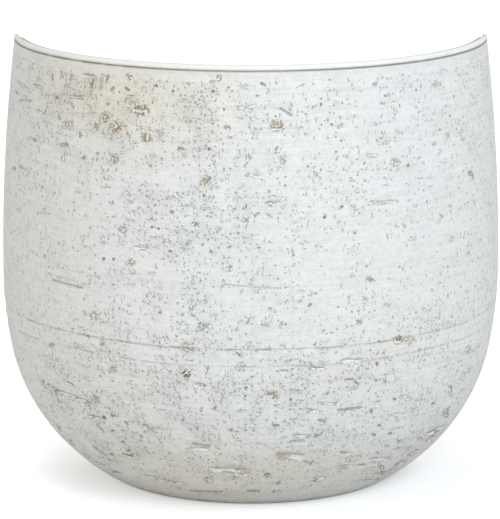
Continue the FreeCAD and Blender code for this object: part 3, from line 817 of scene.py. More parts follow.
out_x = place[:, 0] / np.maximum(out_from_axis, merge_distance)
out_y = -depth_from_axis / np.maximum(out_from_axis, merge_distance)
throwing = noise_at(turn * throwing_round, run / throwing_pitch, seed=throwing_seed)
uneven = np.array([noise.noise(Vector(p) / uneven_size) for p in place])
lumps = np.array([noise.noise(Vector(p) / lump_size) for p in place])
dent = throwing_depth * raised(throwing) + uneven_depth * raised(uneven)
dent += lump_depth * raised(lumps)
level_turn = turn * 0.0
ring_drift = noise_at(turn * drift_round, level_turn, seed=drift_seed) * ring_wander
ring_shade_line = np.zeros(len(run))
for level, (ring_height, ring_depth, ring_shade_strength) in enumerate(rings):
    below = ring_height + ring_drift * (1 + min(level, 1)) - height
    breaks = noise_at(turn * ring_round, level_turn, seed=ring_seed + level)
    strength = ring_usual + ring_change * breaks
    step = smooth(below, 0.0, ring_lip) * np.exp(-np.maximum(below, 0.0) / ring_fade)
    dent += ring_depth * step * np.clip(strength, *ring_limits)
    # A dark line painted at the foot of each ring's step: painted shade in the groove.
    ring_groove_shade = np.exp(-(((below - ring_lip) / ring_shade_width) ** 2))
    here = np.clip(strength - ring_shade_gaps, 0.0, 1.0) * ring_shade_strength
    ring_shade_line = np.maximum(ring_shade_line, ring_groove_shade * here)
write_points(bowl_mesh, "ring_shade", np.where(outside, ring_shade_line, 0.0), "FLOAT")
settled = smooth(height, 0.0, foot_calm)
settled *= 1 - smooth(height, rim_height - rim_calm_from, rim_height - rim_calm_to)
dent = np.where(outside, dent * settled + mark_dent, 0.0)
crease = 1 - np.clip(np.abs(height - rim_height + crease_drop) / crease_half_height, 0, 1)
dent += np.where(outside, crease * crease_depth, 0.0)
fall = np.where(height < belly_height, (belly_height - height) / lower_arc_radius, 0.0)
fall = fall.clip(0, steepest_fall)

# The lip is pared off towards its two cut ends, most at its inner edge.
pared_turn = (math.radians(1.0), math.radians(13.0))
pared_crest = 0.0020
pared_inside = 0.0048
pared_height = 0.0110
past_crest = smooth(wall_radius(rim_height) - out_from_axis, 0.5 * lip_crest_inset, wall / 2)
from_end = np.minimum(turn, math.pi - turn)
pared_here = pared_crest + (pared_inside - pared_crest) * past_crest
pared = (1 - smooth(from_end, *pared_turn)) * pared_here
before_crest = outside & (out_from_axis > wall_radius(rim_height) - lip_crest_inset)
pared *= np.where(before_crest, smooth(height, rim_height, rim_height + lip_rise), 1.0)
pared *= smooth(height, rim_height - pared_height, rim_height - lip_inner_drop)
outward = np.sqrt(1 - fall ** 2)
push = np.stack([-out_x * outward, -out_y * outward, fall], 1)
moved = place + push * dent[:, None]
moved[:, 2] -= pared
write_points(bowl_mesh, "position", moved)
bowl_mesh.update()
bowl_mesh.shade_smooth()
bowl_mesh.attributes.remove(bowl_mesh.attributes["run"])
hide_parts("front_bowl")
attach(bowl, "vase")


def feed(tree, socket, value):
    """Links another node's output to an input, or sets a constant on it."""
    if isinstance(value, bpy.types.NodeSocket):
        tree.links.new(value, socket)
    elif value is not None:
        socket.default_value = value


def node(tree, kind, *inputs, **settings):
    """Adds a shader node, sets its properties and feeds its inputs in order, skipping None."""
    made = tree.nodes.new("ShaderNode" + kind)
    for name, value in settings.items():
        setattr(made, name, value)
    for socket, value in zip(made.inputs, inputs):
        feed(tree, socket, value)
    return made


def calc(tree, operation, *values, clamp=False):
    """A sum, product or other result of numbers."""
    return node(tree, "Math", *values, operation=operation, use_clamp=clamp).outputs[0]


def vector_calc(tree, operation, *values):
    """A vector sum, product or other result; a length comes from the node's second output."""
    made = node(tree, "VectorMath", *values, operation=operation)
    return made.outputs[1] if operation == "LENGTH" else made.outputs[0]


def soft_step(tree, value, low, high, bottom=0.0, top=1.0):
    """Bottom below low, top above high, and a soft step between."""
    made = node(tree, "MapRange", value, low, high, bottom, top, interpolation_type="SMOOTHSTEP")
    return made.outputs[0]


def blend(tree, share, under, over, kind="MIX"):
    """Lays one colour over another by a share."""
    mixed = tree.nodes.new("ShaderNodeMix")
    mixed.data_type = "RGBA"
    mixed.blend_type = kind
    colours = [socket for socket in mixed.inputs if socket.type == "RGBA"]
    feed(tree, mixed.inputs[0], share)
    feed(tree, colours[0], under)
    feed(tree, colours[1], over)
    return [socket for socket in mixed.outputs if socket.type == "RGBA"][0]


def new_group(name, inputs, outputs):
    """A shader node group with its sockets, and the sockets to build between."""
    made = bpy.data.node_groups.new(name, "ShaderNodeTree")
    for way, sockets in (("INPUT", inputs), ("OUTPUT", outputs)):
        for label, kind in sockets.items():
            made.interface.new_socket(label, in_out=way, socket_type="NodeSocket" + kind)
    return made, made.nodes.new("NodeGroupInput").outputs, made.nodes.new("NodeGroupOutput").inputs


def use_group(tree, group, **inputs):
    """Puts a node group into a material and feeds its inputs by name."""
    made = tree.nodes.new("ShaderNodeGroup")
    made.node_tree = group
    for label, value in inputs.items():
        feed(tree, made.inputs[label], value)
    return made.outputs


def product(tree, first, *others):
    """All the values multiplied together."""
    for other in others:
        first = calc(tree, "MULTIPLY", first, other)
    return first


def noise_outputs(tree, place, scale, detail=2.0, rough=0.5):
    """Smooth noise about 0.5, as a value and as a colour."""
    made = node(tree, "TexNoise", place)
    for label, value in (("Scale", scale), ("Detail", detail), ("Roughness", rough)):
        made.inputs[label].default_value = value
    return made.outputs


def noise_value(tree, place, *settings):
    """Smooth noise about 0.5."""
    return noise_outputs(tree, place, *settings)["Fac"]


def cells(tree, place, wide, high, slant=0.0):
    """Cells of a size in millimetres: distance from the nearest centre, and two chances each."""
    scaled = node(tree, "Mapping", place)
    scaled.inputs["Rotation"].default_value = (0, 0, slant)
    scaled.inputs["Scale"].default_value = (1 / wide, 1 / high, 1)
    made = node(tree, "TexVoronoi", scaled.outputs[0], voronoi_dimensions="2D")
    made.inputs["Scale"].default_value = 1.0
    chance = node(tree, "SeparateColor", made.outputs["Color"])
    return made.outputs["Distance"], chance.outputs[0], chance.outputs[1]


smallest_spot = 0.55
spot_growth = 0.9


def spots(tree, place, wide, high, share, inner, outer, slant=0.0):
    """Spots in a share of the cells, whole inside the inner distance and gone at the outer one."""
    distance, chance, size = cells(tree, place, wide, high, slant)
    bigger = calc(tree, "MULTIPLY_ADD", size, spot_growth, smallest_spot)
    shape = soft_step(tree, calc(tree, "DIVIDE", distance, bigger), outer, inner)
    return product(tree, shape, calc(tree, "LESS_THAN", chance, share))


# Coarse clay under a thin glaze, in millimetres on the surface: open grog pits, fine pinholes,
# short scratches up the wall, grains dragged along by the throwing, and the grain between them.
# Each pale grain has a painted shadow beside it, darkened with the pits.
patch_scale = 0.055
patch_grit = (0.35, 1.50)
bend_scale = 0.55
bend_mm = (2.6, 2.6, 0)
grain_shadow_offset_mm = (-0.35, 0.45, 0)
pit_dark = 0.78
pit_depth = -0.45
white_rise = 0.22
grain_rise = 0.42
thrown_rise = 0.16
middle_rise = 0.22

grog, given, result = new_group(
    "grog",
    {"Place": "Vector", "Grit": "Float"},
    {"Dark": "Float", "White": "Float", "Mottle": "Float", "Height": "Float"},
)
place_mm = given["Place"]
patches = soft_step(grog, noise_value(grog, place_mm, patch_scale), 0.38, 0.62, *patch_grit)
grit = product(grog, given["Grit"], patches)
bend = noise_outputs(grog, place_mm, bend_scale)["Color"]
bend = vector_calc(grog, "MULTIPLY", vector_calc(grog, "SUBTRACT", bend, (0.5, 0.5, 0.5)), bend_mm)
bent = vector_calc(grog, "ADD", place_mm, bend)
grain_shadow_place = vector_calc(grog, "ADD", place_mm, grain_shadow_offset_mm)
# Where each kind lies, how wide and high its cells are, the share of them that hold one, how far
# from the centre it is whole and where it is gone, and its slant.
kinds = {
    "pits": (bent, 4.4, 4.4, 0.52, 0.03, 0.17),
    "pinholes": (place_mm, 2.1, 2.1, 0.28, 0.02, 0.22),
    "scratches": (bent, 1.5, 5.2, 0.22, 0.08, 0.32, 0.06),
    "slants": (bent, 1.7, 5.8, 0.16, 0.06, 0.24, 0.75),
    "drags": (bent, 17.0, 5.2, 0.34, 0.10, 0.26),
    "blisters": (bent, 8.0, 7.0, 0.50, 0.05, 0.22),
    "grains": (place_mm, 3.3, 3.3, 0.34, 0.08, 0.21),
    "painted_grain_shadow": (grain_shadow_place, 3.3, 3.3, 0.34, 0.10, 0.24),
}
found = {}
for kind, (where, wide, high, share, *shape) in kinds.items():
    found[kind] = spots(grog, where, wide, high, product(grog, grit, share), *shape)
# A painted shadow at one side of each pale grain.
painted_grain_shadow = calc(grog, "SUBTRACT", found["painted_grain_shadow"], found["grains"], clamp=True)
lengthened = vector_calc(grog, "MULTIPLY", place_mm, (0.30, 1.25, 1))
streaks = noise_value(grog, lengthened, 1.0, 2.0, 0.6)
crumbs = noise_value(grog, place_mm, 0.95, 2.0, 0.6)
drag_pale = product(grog, found["drags"], soft_step(grog, streaks, 0.50, 0.60))
drag_dark = product(grog, found["drags"], soft_step(grog, streaks, 0.47, 0.37))
blister_pale = product(grog, found["blisters"], soft_step(grog, crumbs, 0.50, 0.62))
blister_dark = product(grog, found["blisters"], soft_step(grog, crumbs, 0.46, 0.36))
dark = product(grog, found["pits"], pit_dark)
for more, weight in (
    (found["pinholes"], 0.30),
    (found["scratches"], 0.42),
    (found["slants"], 0.50),
    (drag_dark, 0.50),
    (blister_dark, 0.55),
    (painted_grain_shadow, 0.50),
):
    dark = calc(grog, "MAXIMUM", dark, product(grog, more, weight))
white = calc(grog, "MAXIMUM", calc(grog, "MAXIMUM", drag_pale, blister_pale), found["grains"])
feed(grog, result["Dark"], dark)
feed(grog, result["White"], white)
broad = noise_value(grog, place_mm, 0.045, 3.0)
middle = noise_value(grog, place_mm, 0.28, 3.0)
grain = noise_value(grog, place_mm, 1.1, 3.0, 0.65)
thrown = vector_calc(grog, "MULTIPLY", place_mm, (0.025, 0.55, 1))
thrown = noise_value(grog, thrown, 1.0, 3.0, 0.6)
mottle = product(grog, middle, 0.25)
for part, weight in ((grain, 0.46), (thrown, 0.22), (broad, 0.13)):
    mottle = calc(grog, "MULTIPLY_ADD", part, weight, mottle)
feed(grog, result["Mottle"], mottle)
relief = product(grog, dark, pit_depth)
for part, rise in (
    (white, white_rise),
    (product(grog, grain, grit), grain_rise),
    (thrown, thrown_rise),
    (middle, middle_rise),
):
    relief = calc(grog, "MULTIPLY_ADD", part, rise, relief)
feed(grog, result["Height"], relief)

# One mark read off the photograph. A short one is crumbs and a long one is torn streaks, pale in
# the middle, with painted shade towards its upper side and a painted highlight towards its lower
# one, as light from above falls on a groove. A mark that is neither pale nor rust-coloured is a dark
# hole.
# Its place is measured in its own half widths.
raggedness = 1.9
body_reach = (1.30, 0.70)
rust_reach = (1.50, 0.50)
long_from = 1.4
long_whole = 2.6
most_dragged = 0.80
painted_groove_light_tilt = (0.03, 0.11)
ridge_rise = 0.12
side_drop = -0.22
not_dark = 1.4
mark_rise = 0.30
mark_sink = -0.45

mark, given, result = new_group(
    "wall_mark",
    {"Place": "Vector", "Look": "Vector", "Wall": "Vector"},
    {"Dark": "Float", "White": "Float", "Rust": "Float", "Height": "Float"},
)
along, aside, long_share = node(mark, "SeparateXYZ", given["Place"]).outputs
mark_dark, mark_white, mark_rust = node(mark, "SeparateXYZ", given["Look"]).outputs
ragged = noise_outputs(mark, given["Wall"], 0.8)["Color"]
ragged_x, ragged_y, _ = node(mark, "SeparateXYZ", ragged).outputs
straight = calc(mark, "SUBTRACT", long_share, 1.0)
past_end = calc(mark, "SUBTRACT", calc(mark, "ABSOLUTE", along), straight)
past_end = calc(mark, "MAXIMUM", past_end, 0.0)
past_end = calc(mark, "MULTIPLY_ADD", calc(mark, "SUBTRACT", ragged_x, 0.5), raggedness, past_end)
to_side = calc(mark, "MULTIPLY_ADD", calc(mark, "SUBTRACT", ragged_y, 0.5), raggedness, aside)
apart = calc(mark, "ADD", calc(mark, "POWER", past_end, 2.0), calc(mark, "POWER", to_side, 2.0))
apart = calc(mark, "SQRT", apart)
body = soft_step(mark, apart, *body_reach)
lengthways = node(mark, "CombineXYZ", product(mark, along, 0.42), product(mark, aside, 1.7), 0.0)
wall_drift = vector_calc(mark, "MULTIPLY", given["Wall"], (0.10, 0.16, 0))
lengthways = vector_calc(mark, "ADD", lengthways.outputs[0], wall_drift)
streaks = noise_value(mark, lengthways, 1.0, 2.0, 0.55)
crumbs = noise_value(mark, given["Wall"], 0.60, 2.0, 0.6)
dragged = soft_step(mark, long_share, long_from, long_whole, 0.0, most_dragged)
torn = calc(mark, "MULTIPLY_ADD", calc(mark, "SUBTRACT", streaks, crumbs), dragged, crumbs)
# Painted shade on the upper side of a long mark and a painted highlight on its lower side.
torn = calc(mark, "MULTIPLY_ADD", aside, soft_step(mark, dragged, 0.0, 1.0, *painted_groove_light_tilt), torn)
ridge = calc(mark, "MULTIPLY_ADD", calc(mark, "ABSOLUTE", to_side), side_drop, ridge_rise)
torn = calc(mark, "MULTIPLY_ADD", ridge, dragged, torn)
pale = product(mark, soft_step(mark, torn, 0.50, 0.55), mark_white, body)
coloured = product(mark, calc(mark, "MAXIMUM", mark_white, mark_rust), not_dark)
line = product(mark, soft_step(mark, torn, 0.33, 0.40), soft_step(mark, torn, 0.51, 0.46))
low = calc(mark, "MAXIMUM", line, calc(mark, "SUBTRACT", 1.0, coloured))
hole = product(mark, body, low, mark_dark)
feed(mark, result["Dark"], hole)
feed(mark, result["White"], pale)
spread = soft_step(mark, torn, 0.70, 0.40, 0.40, 1.0)
spread = product(mark, soft_step(mark, apart, *rust_reach), spread, mark_rust)
feed(mark, result["Rust"], spread)
lifted = product(mark, pale, mark_rise)
feed(mark, result["Height"], calc(mark, "MULTIPLY_ADD", hole, mark_sink, lifted))

# The glaze itself: chalky off-white over a warmer clay that shows through where it is thin. It
# takes on clay colour in the stains and is bare under the foot.
glaze_colour = (0.748, 0.748, 0.727, 1)
stain_colour = (0.700, 0.640, 0.520, 1)
dark_colour = (0.165, 0.155, 0.125, 1)
white_colour = (0.900, 0.900, 0.880, 1)
rust_colour = (0.580, 0.430, 0.245, 1)
burnt_colour = (0.150, 0.088, 0.048, 1)
bare_colour = (0.600, 0.525, 0.415, 1)
crease_olive = (0.150, 0.140, 0.095, 1)
crease_brown = (0.300, 0.190, 0.120, 1)
ring_shade_colour = (0.260, 0.255, 0.240, 1)
inner_edge_glaze_and_shade_colour = (0.310, 0.300, 0.280, 1)
glaze_roughness = 0.55
bare_roughness = 0.3
glaze_specular = 0.30
glaze_lightness = (0.86, 1.08)
stain_share = 0.75
white_share = 0.55
dark_share = 0.85
lip_highlight_share = 0.7
brown_begins = (-0.075, -0.015)
brown_ends = (0.010, 0.055)

glaze, given, result = new_group(
    "glaze",
    {"Place": "Vector", "Grit": "Float", "Stain": "Float", "Bare": "Float"},
    {"Colour": "Color", "Roughness": "Float", "Height": "Float"},
)
under = use_group(glaze, grog, Place=given["Place"], Grit=given["Grit"])
lightness = soft_step(glaze, under["Mottle"], 0.38, 0.62, *glaze_lightness)
stained = calc(glaze, "MULTIPLY", given["Stain"], stain_share, clamp=True)
colour = blend(glaze, stained, glaze_colour, stain_colour)
grey = node(glaze, "CombineColor", *[lightness] * 3).outputs[0]
colour = blend(glaze, 1.0, colour, grey, "MULTIPLY")
colour = blend(glaze, product(glaze, under["White"], white_share), colour, white_colour)
colour = blend(glaze, product(glaze, under["Dark"], dark_share), colour, dark_colour)
colour = blend(glaze, given["Bare"], colour, bare_colour)
roughness = calc(glaze, "MULTIPLY_ADD", given["Bare"], bare_roughness, glaze_roughness)
feed(glaze, result["Colour"], colour)
feed(glaze, result["Roughness"], roughness)
feed(glaze, result["Height"], under["Height"])


def new_material(name):
    """An empty material with its principled shader and the output it feeds."""
    made = bpy.data.materials.new(name)
    made.use_nodes = True
    made.node_tree.nodes.clear()
    shader = made.node_tree.nodes.new("ShaderNodeBsdfPrincipled")
    end = made.node_tree.nodes.new("ShaderNodeOutputMaterial")
    made.node_tree.links.new(shader.outputs[0], end.inputs[0])
    return made, made.node_tree, shader.inputs


def attribute(tree, name):
    """A mesh attribute's node."""
    made = tree.nodes.new("ShaderNodeAttribute")
    made.attribute_name = name
    return made.outputs


def bump(tree, height_mm, strength=1.0):
    """A normal from a height in millimetres."""
    made = tree.nodes.new("ShaderNodeBump")
    made.inputs["Distance"].default_value = 0.001
    made.inputs["Strength"].default_value = strength
    feed(tree, made.inputs["Height"], height_mm)
    return made.outputs[0]


def surface_mm(tree, map_name):
    """A piece's own map, which is in metres, as millimetres."""
    made = node(tree, "UVMap", uv_map=map_name)
    return vector_calc(tree, "MULTIPLY", made.outputs[0], (1000, 1000, 0))


glazed, tree, shader = new_material("glazed_stoneware")
place_mm = surface_mm(tree, "glaze_map")
base = use_group(
    tree,
    glaze,
    Place=place_mm,
    Grit=attribute(tree, "grit")["Fac"],
    Stain=attribute(tree, "stain_and_shade")["Fac"],
    Bare=attribute(tree, "bare")["Fac"],
)
colour, relief = base["Colour"], base["Height"]
for k in range(mark_layers):
    one = use_group(
        tree,
        mark,
        Place=attribute(tree, f"mark_place_{k}")["Vector"],
        Look=attribute(tree, f"mark_look_{k}")["Vector"],
        Wall=place_mm,
    )
    hole_colour = blend(tree, one["Rust"], dark_colour, burnt_colour)
    for what, weight, laid_over in (
        ("Rust", 0.80, rust_colour),
        ("White", 0.85, white_colour),
        ("Dark", 0.90, hole_colour),
    ):
        colour = blend(tree, product(tree, one[what], weight), colour, laid_over)
    relief = calc(tree, "ADD", relief, one["Height"])
object_place = node(tree, "TexCoord").outputs["Object"]
from_left = node(tree, "SeparateXYZ", object_place).outputs[0]
to_middle = soft_step(tree, from_left, *brown_begins)
past_middle = soft_step(tree, from_left, *brown_ends)
browned = product(tree, to_middle, calc(tree, "SUBTRACT", 1.0, past_middle))
# The crease line, brown in the middle and olive towards the ends: partly bare clay, partly painted
# shade.
crease_clay_and_shade_colour = blend(tree, browned, crease_olive, crease_brown)
gaps = soft_step(tree, noise_value(tree, object_place, 55.0, 3.0), 0.30, 0.42, 0.60, 1.0)
crease_clay_and_shade_share = product(tree, attribute(tree, "crease")["Fac"], gaps)
colour = blend(tree, crease_clay_and_shade_share, colour, crease_clay_and_shade_colour)
# The painted shade along the rings, broken here and there.
broken = soft_step(tree, noise_value(tree, object_place, 160.0, 3.0), 0.42, 0.54)
ring_shade_share = calc(tree, "MULTIPLY", attribute(tree, "ring_shade")["Fac"], broken, clamp=True)
colour = blend(tree, ring_shade_share, colour, ring_shade_colour)
# The painted highlight on the lip's crest.
colour = blend(tree, product(tree, attribute(tree, "lip")["Fac"], lip_highlight_share), colour, white_colour)
# The grey inner edge line: thin glaze and painted shade.
colour = blend(tree, attribute(tree, "edge")["Fac"], colour, inner_edge_glaze_and_shade_colour)
feed(tree, shader["Base Color"], colour)
feed(tree, shader["Roughness"], base["Roughness"])
feed(tree, shader["Normal"], bump(tree, relief))
shader["Specular IOR Level"].default_value = glaze_specular
bowl_mesh.materials.append(glazed)

# The slab that closes the back is rolled from the same clay. It is glazed inside and round its
# edges, and its back is left bare, where the pads sit. The coil that seals it to the bowl is glazed
# with it.
slab_grit = 0.22
slab_stain = 0.30
bare_from = (-0.0052, -0.0036)
bare_wander = 0.0016
coil_grit = 0.12
edge_lean = 0.7
finishes = {}


def clay_face(tree):
    """Object coordinates in millimetres, laid over the slab's face and askew over its edges."""
    x, y, z = node(tree, "SeparateXYZ", node(tree, "TexCoord").outputs["Object"]).outputs
    across = calc(tree, "ADD", x, y)
    up = calc(tree, "MULTIPLY_ADD", y, edge_lean, z)
    laid = node(tree, "CombineXYZ", across, up, y)
    return vector_calc(tree, "MULTIPLY", laid.outputs[0], (1000, 1000, 1000)), y


for name, grit_share, stain_share in (
    ("back_clay", slab_grit, slab_stain),
    ("seam_clay", coil_grit, slab_stain),
):
    finishes[name], tree, shader = new_material(name)
    place_mm, deep_in = clay_face(tree)
    edge = calc(tree, "MULTIPLY_ADD", noise_value(tree, place_mm, 0.2, 3.0), bare_wander, deep_in)
    bare = soft_step(tree, edge, *bare_from) if name == "back_clay" else 0.0
    base = use_group(tree, glaze, Place=place_mm, Grit=grit_share, Stain=stain_share, Bare=bare)
    feed(tree, shader["Base Color"], base["Colour"])
    feed(tree, shader["Roughness"], base["Roughness"])
    feed(tree, shader["Normal"], bump(tree, base["Height"]))
    shader["Specular IOR Level"].default_value = glaze_specular

# Two pan-head screws of zinc-plated steel, 5 by 60 mm, stand out of the wall. The vase hangs on
# their plain shanks by its keyholes. The heads are cold-formed with a tapered cross recess, and the
# threads are rolled.
screw_axes = (-0.060, 0.060)
head_seat = -0.0123
screw_length = 0.0600
head_radius = 0.0050
head_height = 0.0036
head_edge = 0.0010
shank_radius = 0.0025
thread_start = 0.0180
thread_end = 0.0558
thread_pitch = 0.0022
thread_root = 0.0018
thread_crest = 0.00025
thread_sunk = 0.0004
thread_flank = 0.0009
tip_radius = 0.0003
recess_arm = 0.0027
recess_half_width = 0.00055
recess_depth = 0.0020
recess_taper = 0.55
round_steps = 32
turn_steps = 20
lathe_axis = {"cent": (0, 0, 0), "axis": (0, 0, 1)}


def turned_body():
    """The screw without thread and recess, about the Z axis, with the head's seat at zero."""
    body = bmesh.new()
    point = body.verts.new((head_radius - head_edge, 0, -head_height))
    edge_end = Vector((head_radius, 0, head_edge - head_height))
    point = arc_to(body, point, edge_end, head_edge, steps=4)
    for radius, level in (
        (head_radius, 0.0),
        (shank_radius, 0.0),
        (shank_radius, thread_start - thread_pitch),
        (thread_root, thread_start),
        (thread_root, thread_end),
        (tip_radius, screw_length),
        (0.0, screw_length),
    ):
        point = straight_to(body, point, Vector((radius, 0, level)), steps=1)
    everything = body.verts[:] + body.edges[:]
    bmesh.ops.spin(
        body, geom=everything, angle=2 * math.pi, steps=round_steps, use_merge=True, **lathe_axis
    )
    bmesh.ops.remove_doubles(body, verts=body.verts[:], dist=merge_distance)
    return body


def cut_recess(body):
    """Closes the head with a face round a cross and pushes the cross in, narrower at the bottom."""
    cross = bmesh.new()
    level = Matrix.Translation((0, 0, -head_height))
    bmesh.ops.create_grid(cross, x_segments=3, y_segments=3, size=recess_arm, matrix=level)
    corners = []
    for face in cross.faces:
        middle = face.calc_center_median()
        if min(abs(middle.x), abs(middle.y)) > recess_half_width:
            corners.append(face)
    bmesh.ops.delete(cross, geom=corners, context="FACES")
    for vert in cross.verts:
        for k in (0, 1):
            if abs(vert.co[k]) < recess_arm / 2:
                vert.co[k] = math.copysign(recess_half_width, vert.co[k])
    floor_of_cross = bmesh.ops.extrude_face_region(cross, geom=cross.faces[:])["geom"]
    for vert in [g for g in floor_of_cross if isinstance(g, bmesh.types.BMVert)]:
        vert.co = (vert.co.x * recess_taper, vert.co.y * recess_taper, recess_depth - head_height)
    lid = [f for f in cross.faces if f.calc_center_median().z == -head_height]
    bmesh.ops.delete(cross, geom=lid, context="FACES_ONLY")
    join_into(body, cross)
    mouth = []
    for edge in open_ends(body):
        if all(abs(v.co.z + head_height) < merge_distance for v in edge.verts):
            mouth.append(edge)
    bmesh.ops.triangle_fill(body, edges=mouth, use_beauty=True)


def rolled_thread():
    """One ridge wound up the shank, rising at its start and sinking into the point."""
    ridge = bmesh.new()
    turns = (thread_end - thread_start) / thread_pitch
    low = thread_root - thread_sunk
    first = ridge.verts.new((low, 0, thread_start - thread_flank))
    last = first
    for radius, level in (
        (shank_radius, thread_start - thread_crest),
        (shank_radius, thread_start + thread_crest),
        (low, thread_start + thread_flank),
    ):
        last = straight_to(ridge, last, Vector((radius, 0, level)), steps=1)
    ridge.edges.new((last, first))
    bmesh.ops.spin(
        ridge,
        geom=ridge.verts[:] + ridge.edges[:],
        angle=2 * math.pi * turns,
        steps=round(turn_steps * turns),
        dvec=(0, 0, thread_pitch / turn_steps),
        **lathe_axis,
    )
    bmesh.ops.holes_fill(ridge, edges=open_ends(ridge), sides=4)
    for vert in ridge.verts:
        from_start = (vert.co.z - thread_start) / thread_pitch
        to_end = (thread_end - vert.co.z) / thread_pitch
        share = min(from_start, to_end, 1.0)
        out = math.hypot(vert.co.x, vert.co.y)
        keep = 1 - (1 - max(share, 0.0)) * (out - low) / out
        vert.co.x *= keep
        vert.co.y *= keep
    return ridge


screw_body = turned_body()
cut_recess(screw_body)
join_into(screw_body, rolled_thread())
bmesh.ops.recalc_face_normals(screw_body, faces=screw_body.faces[:])
into_wall = Matrix.Rotation(-math.pi / 2, 3, "X")
bmesh.ops.rotate(screw_body, verts=screw_body.verts[:], cent=(0, 0, 0), matrix=into_wall)

# Bright zinc: pale steel with a faint cloudiness in its colour and gloss.
zinc_low = (0.60, 0.61, 0.63, 1)
zinc_high = (0.76, 0.77, 0.79, 1)
sharp_from = math.radians(35)
cloud_gloss = 0.25
cloud_gloss_middle = 0.12


def plain_finish(name, low, high, metal, rough, grain_scale, grain_height):
    """A cloudy finish between two colours, with a fine grain, in object millimetres."""
    finishes[name], tree, shader = new_material(name)
    object_place = node(tree, "TexCoord").outputs["Object"]
    place_mm = vector_calc(tree, "MULTIPLY", object_place, (1000, 1000, 1000))
    cloudy = noise_value(tree, place_mm, grain_scale, 3.0)
    feed(tree, shader["Base Color"], blend(tree, soft_step(tree, cloudy, 0.3, 0.7), low, high))
    gloss = calc(tree, "MULTIPLY_ADD", cloudy, cloud_gloss, rough - cloud_gloss_middle)
    feed(tree, shader["Roughness"], gloss)
    feed(tree, shader["Normal"], bump(tree, calc(tree, "MULTIPLY", cloudy, grain_height)))
    shader["Metallic"].default_value = metal


plain_finish("screw_steel", zinc_low, zinc_high, 1.0, 0.30, 0.9, 0.02)
for side, across in zip(("left", "right"), screw_axes):
    mesh = bpy.data.meshes.new(f"zinc_screw_{side}")
    screw_body.to_mesh(mesh)
    mesh.transform(Matrix.Translation((across, head_seat, 0)))
    mesh.shade_smooth()
    mesh.set_sharp_from_angle(angle=sharp_from)
    mesh.materials.append(finishes["screw_steel"])
    zinc_screw = bpy.data.objects.new(f"zinc_screw_{side}", mesh)
    bpy.context.scene.collection.objects.link(zinc_screw)
    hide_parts(f"hanging_screw_{side}")
    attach(zinc_screw, "wall_fixings")
screw_body.free()

# Two plugs of moulded grey nylon fill the drilled holes and grip the screws. Four clear silicone
# pads, stuck on the slab, keep the pot off the wall.
nylon_low = (0.42, 0.43, 0.44, 1)
nylon_high = (0.50, 0.51, 0.52, 1)
silicone_low = (0.70, 0.70, 0.67, 1)
silicone_high = (0.80, 0.80, 0.77, 1)
plain_finish("plug_nylon", nylon_low, nylon_high, 0.0, 0.48, 0.5, 0.05)
plain_finish("pad_rubber", silicone_low, silicone_high, 0.0, 0.36, 0.4, 0.04)

node_materials = {"back_slab": "back_clay", "seam_coil": "seam_clay"}
for side in ("left", "right"):
    node_materials[f"wall_plug_{side}"] = "plug_nylon"
    for level in ("lower", "upper"):
        node_materials[f"wall_pad_{level}_{side}"] = "pad_rubber"
for node_name, name in node_materials.items():
    mesh = bpy.data.objects[node_name].data
    mesh.materials.clear()
    mesh.materials.append(finishes[name])

# The studio: a white table, a big lamp before and above the pot on the right, a weaker and warmer
# one on the left, and an even white room. The table glows for the camera, less near the pot, which
# adds a painted shadow round the foot to the real one.
floor_size = 3.0
table_colour = (0.82, 0.82, 0.82, 1)
table_glow_near_to_far = (0.36, 0.75)
painted_shadow_reach = (0.114, 0.196)
shade_middle = (-0.016, 0.026, 0.0)
room_level = 0.58
key_place = Vector((0.95, -1.60, 1.15))
key_size = 1.1
key_watts = 22.0
key_colour = (0.91, 1.01, 1.10)
fill_place = Vector((-1.5, -1.2, 0.5))
fill_size = 1.0
fill_watts = 6.5
fill_colour = (1.0, 0.975, 0.86)

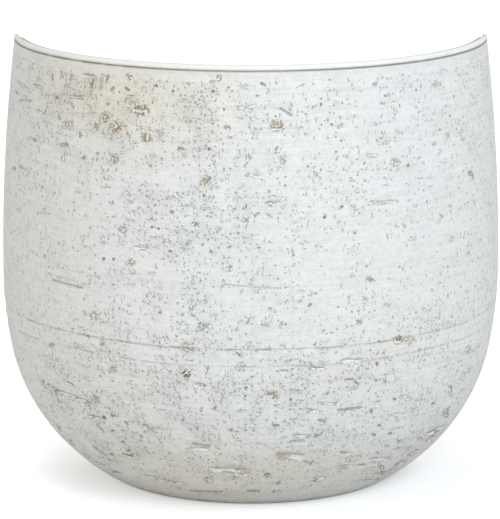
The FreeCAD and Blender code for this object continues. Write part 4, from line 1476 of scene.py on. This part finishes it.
floor_mesh = bpy.data.meshes.new("floor")
floor_shape = bmesh.new()
bmesh.ops.create_grid(
    floor_shape,
    x_segments=1,
    y_segments=1,
    size=floor_size,
    matrix=Matrix.Translation((0, 0, foot_level)),
)
floor_shape.to_mesh(floor_mesh)
floor_shape.free()
floor = bpy.data.objects.new("floor", floor_mesh)
bpy.context.scene.collection.objects.link(floor)
table = bpy.data.materials.new("table")
table.use_nodes = True
tree = table.node_tree
tree.nodes.clear()
matt = node(tree, "BsdfDiffuse", table_colour)
seen = node(tree, "LightPath").outputs["Is Camera Ray"]
# Nearer the pot the table glows less, which paints a soft shadow round the foot; shade_middle is
# that shadow's middle.
flat = vector_calc(tree, "MULTIPLY", node(tree, "TexCoord").outputs["Object"], (1, 1, 0))
far = vector_calc(tree, "LENGTH", vector_calc(tree, "ADD", flat, shade_middle))
table_glow_here = soft_step(tree, far, *painted_shadow_reach, *table_glow_near_to_far)
table_glow = node(tree, "Emission", (1, 1, 1, 1), calc(tree, "MULTIPLY", seen, table_glow_here))
both = node(tree, "AddShader", matt.outputs[0], table_glow.outputs[0])
tree.links.new(both.outputs[0], tree.nodes.new("ShaderNodeOutputMaterial").inputs[0])
floor_mesh.materials.append(table)


def area_lamp(name, place, size, watts, colour):
    """A square lamp aimed at the pot."""
    data = bpy.data.lights.new(name, "AREA")
    data.size = size
    data.energy = watts
    data.color = colour
    lamp = bpy.data.objects.new(name, data)
    lamp.location = place
    lamp.rotation_mode = "QUATERNION"
    lamp.rotation_quaternion = (aim - place).to_track_quat("-Z", "Y")
    bpy.context.scene.collection.objects.link(lamp)


area_lamp("key", key_place, key_size, key_watts, key_colour)
area_lamp("fill", fill_place, fill_size, fill_watts, fill_colour)

world = bpy.data.worlds.new("room")
bpy.context.scene.world = world
world.use_nodes = True
tree = world.node_tree
rays = node(tree, "LightPath").outputs
white_to = calc(tree, "MAXIMUM", rays["Is Camera Ray"], rays["Is Glossy Ray"])
white_to = calc(tree, "MAXIMUM", white_to, rays["Is Transmission Ray"])
level = node(tree, "MapRange", white_to, 0.0, 1.0, room_level, 1.0).outputs[0]
feed(tree, tree.nodes["Background"].inputs["Strength"], level)
feed(tree, tree.nodes["Background"].inputs["Color"], (1, 1, 1, 1))
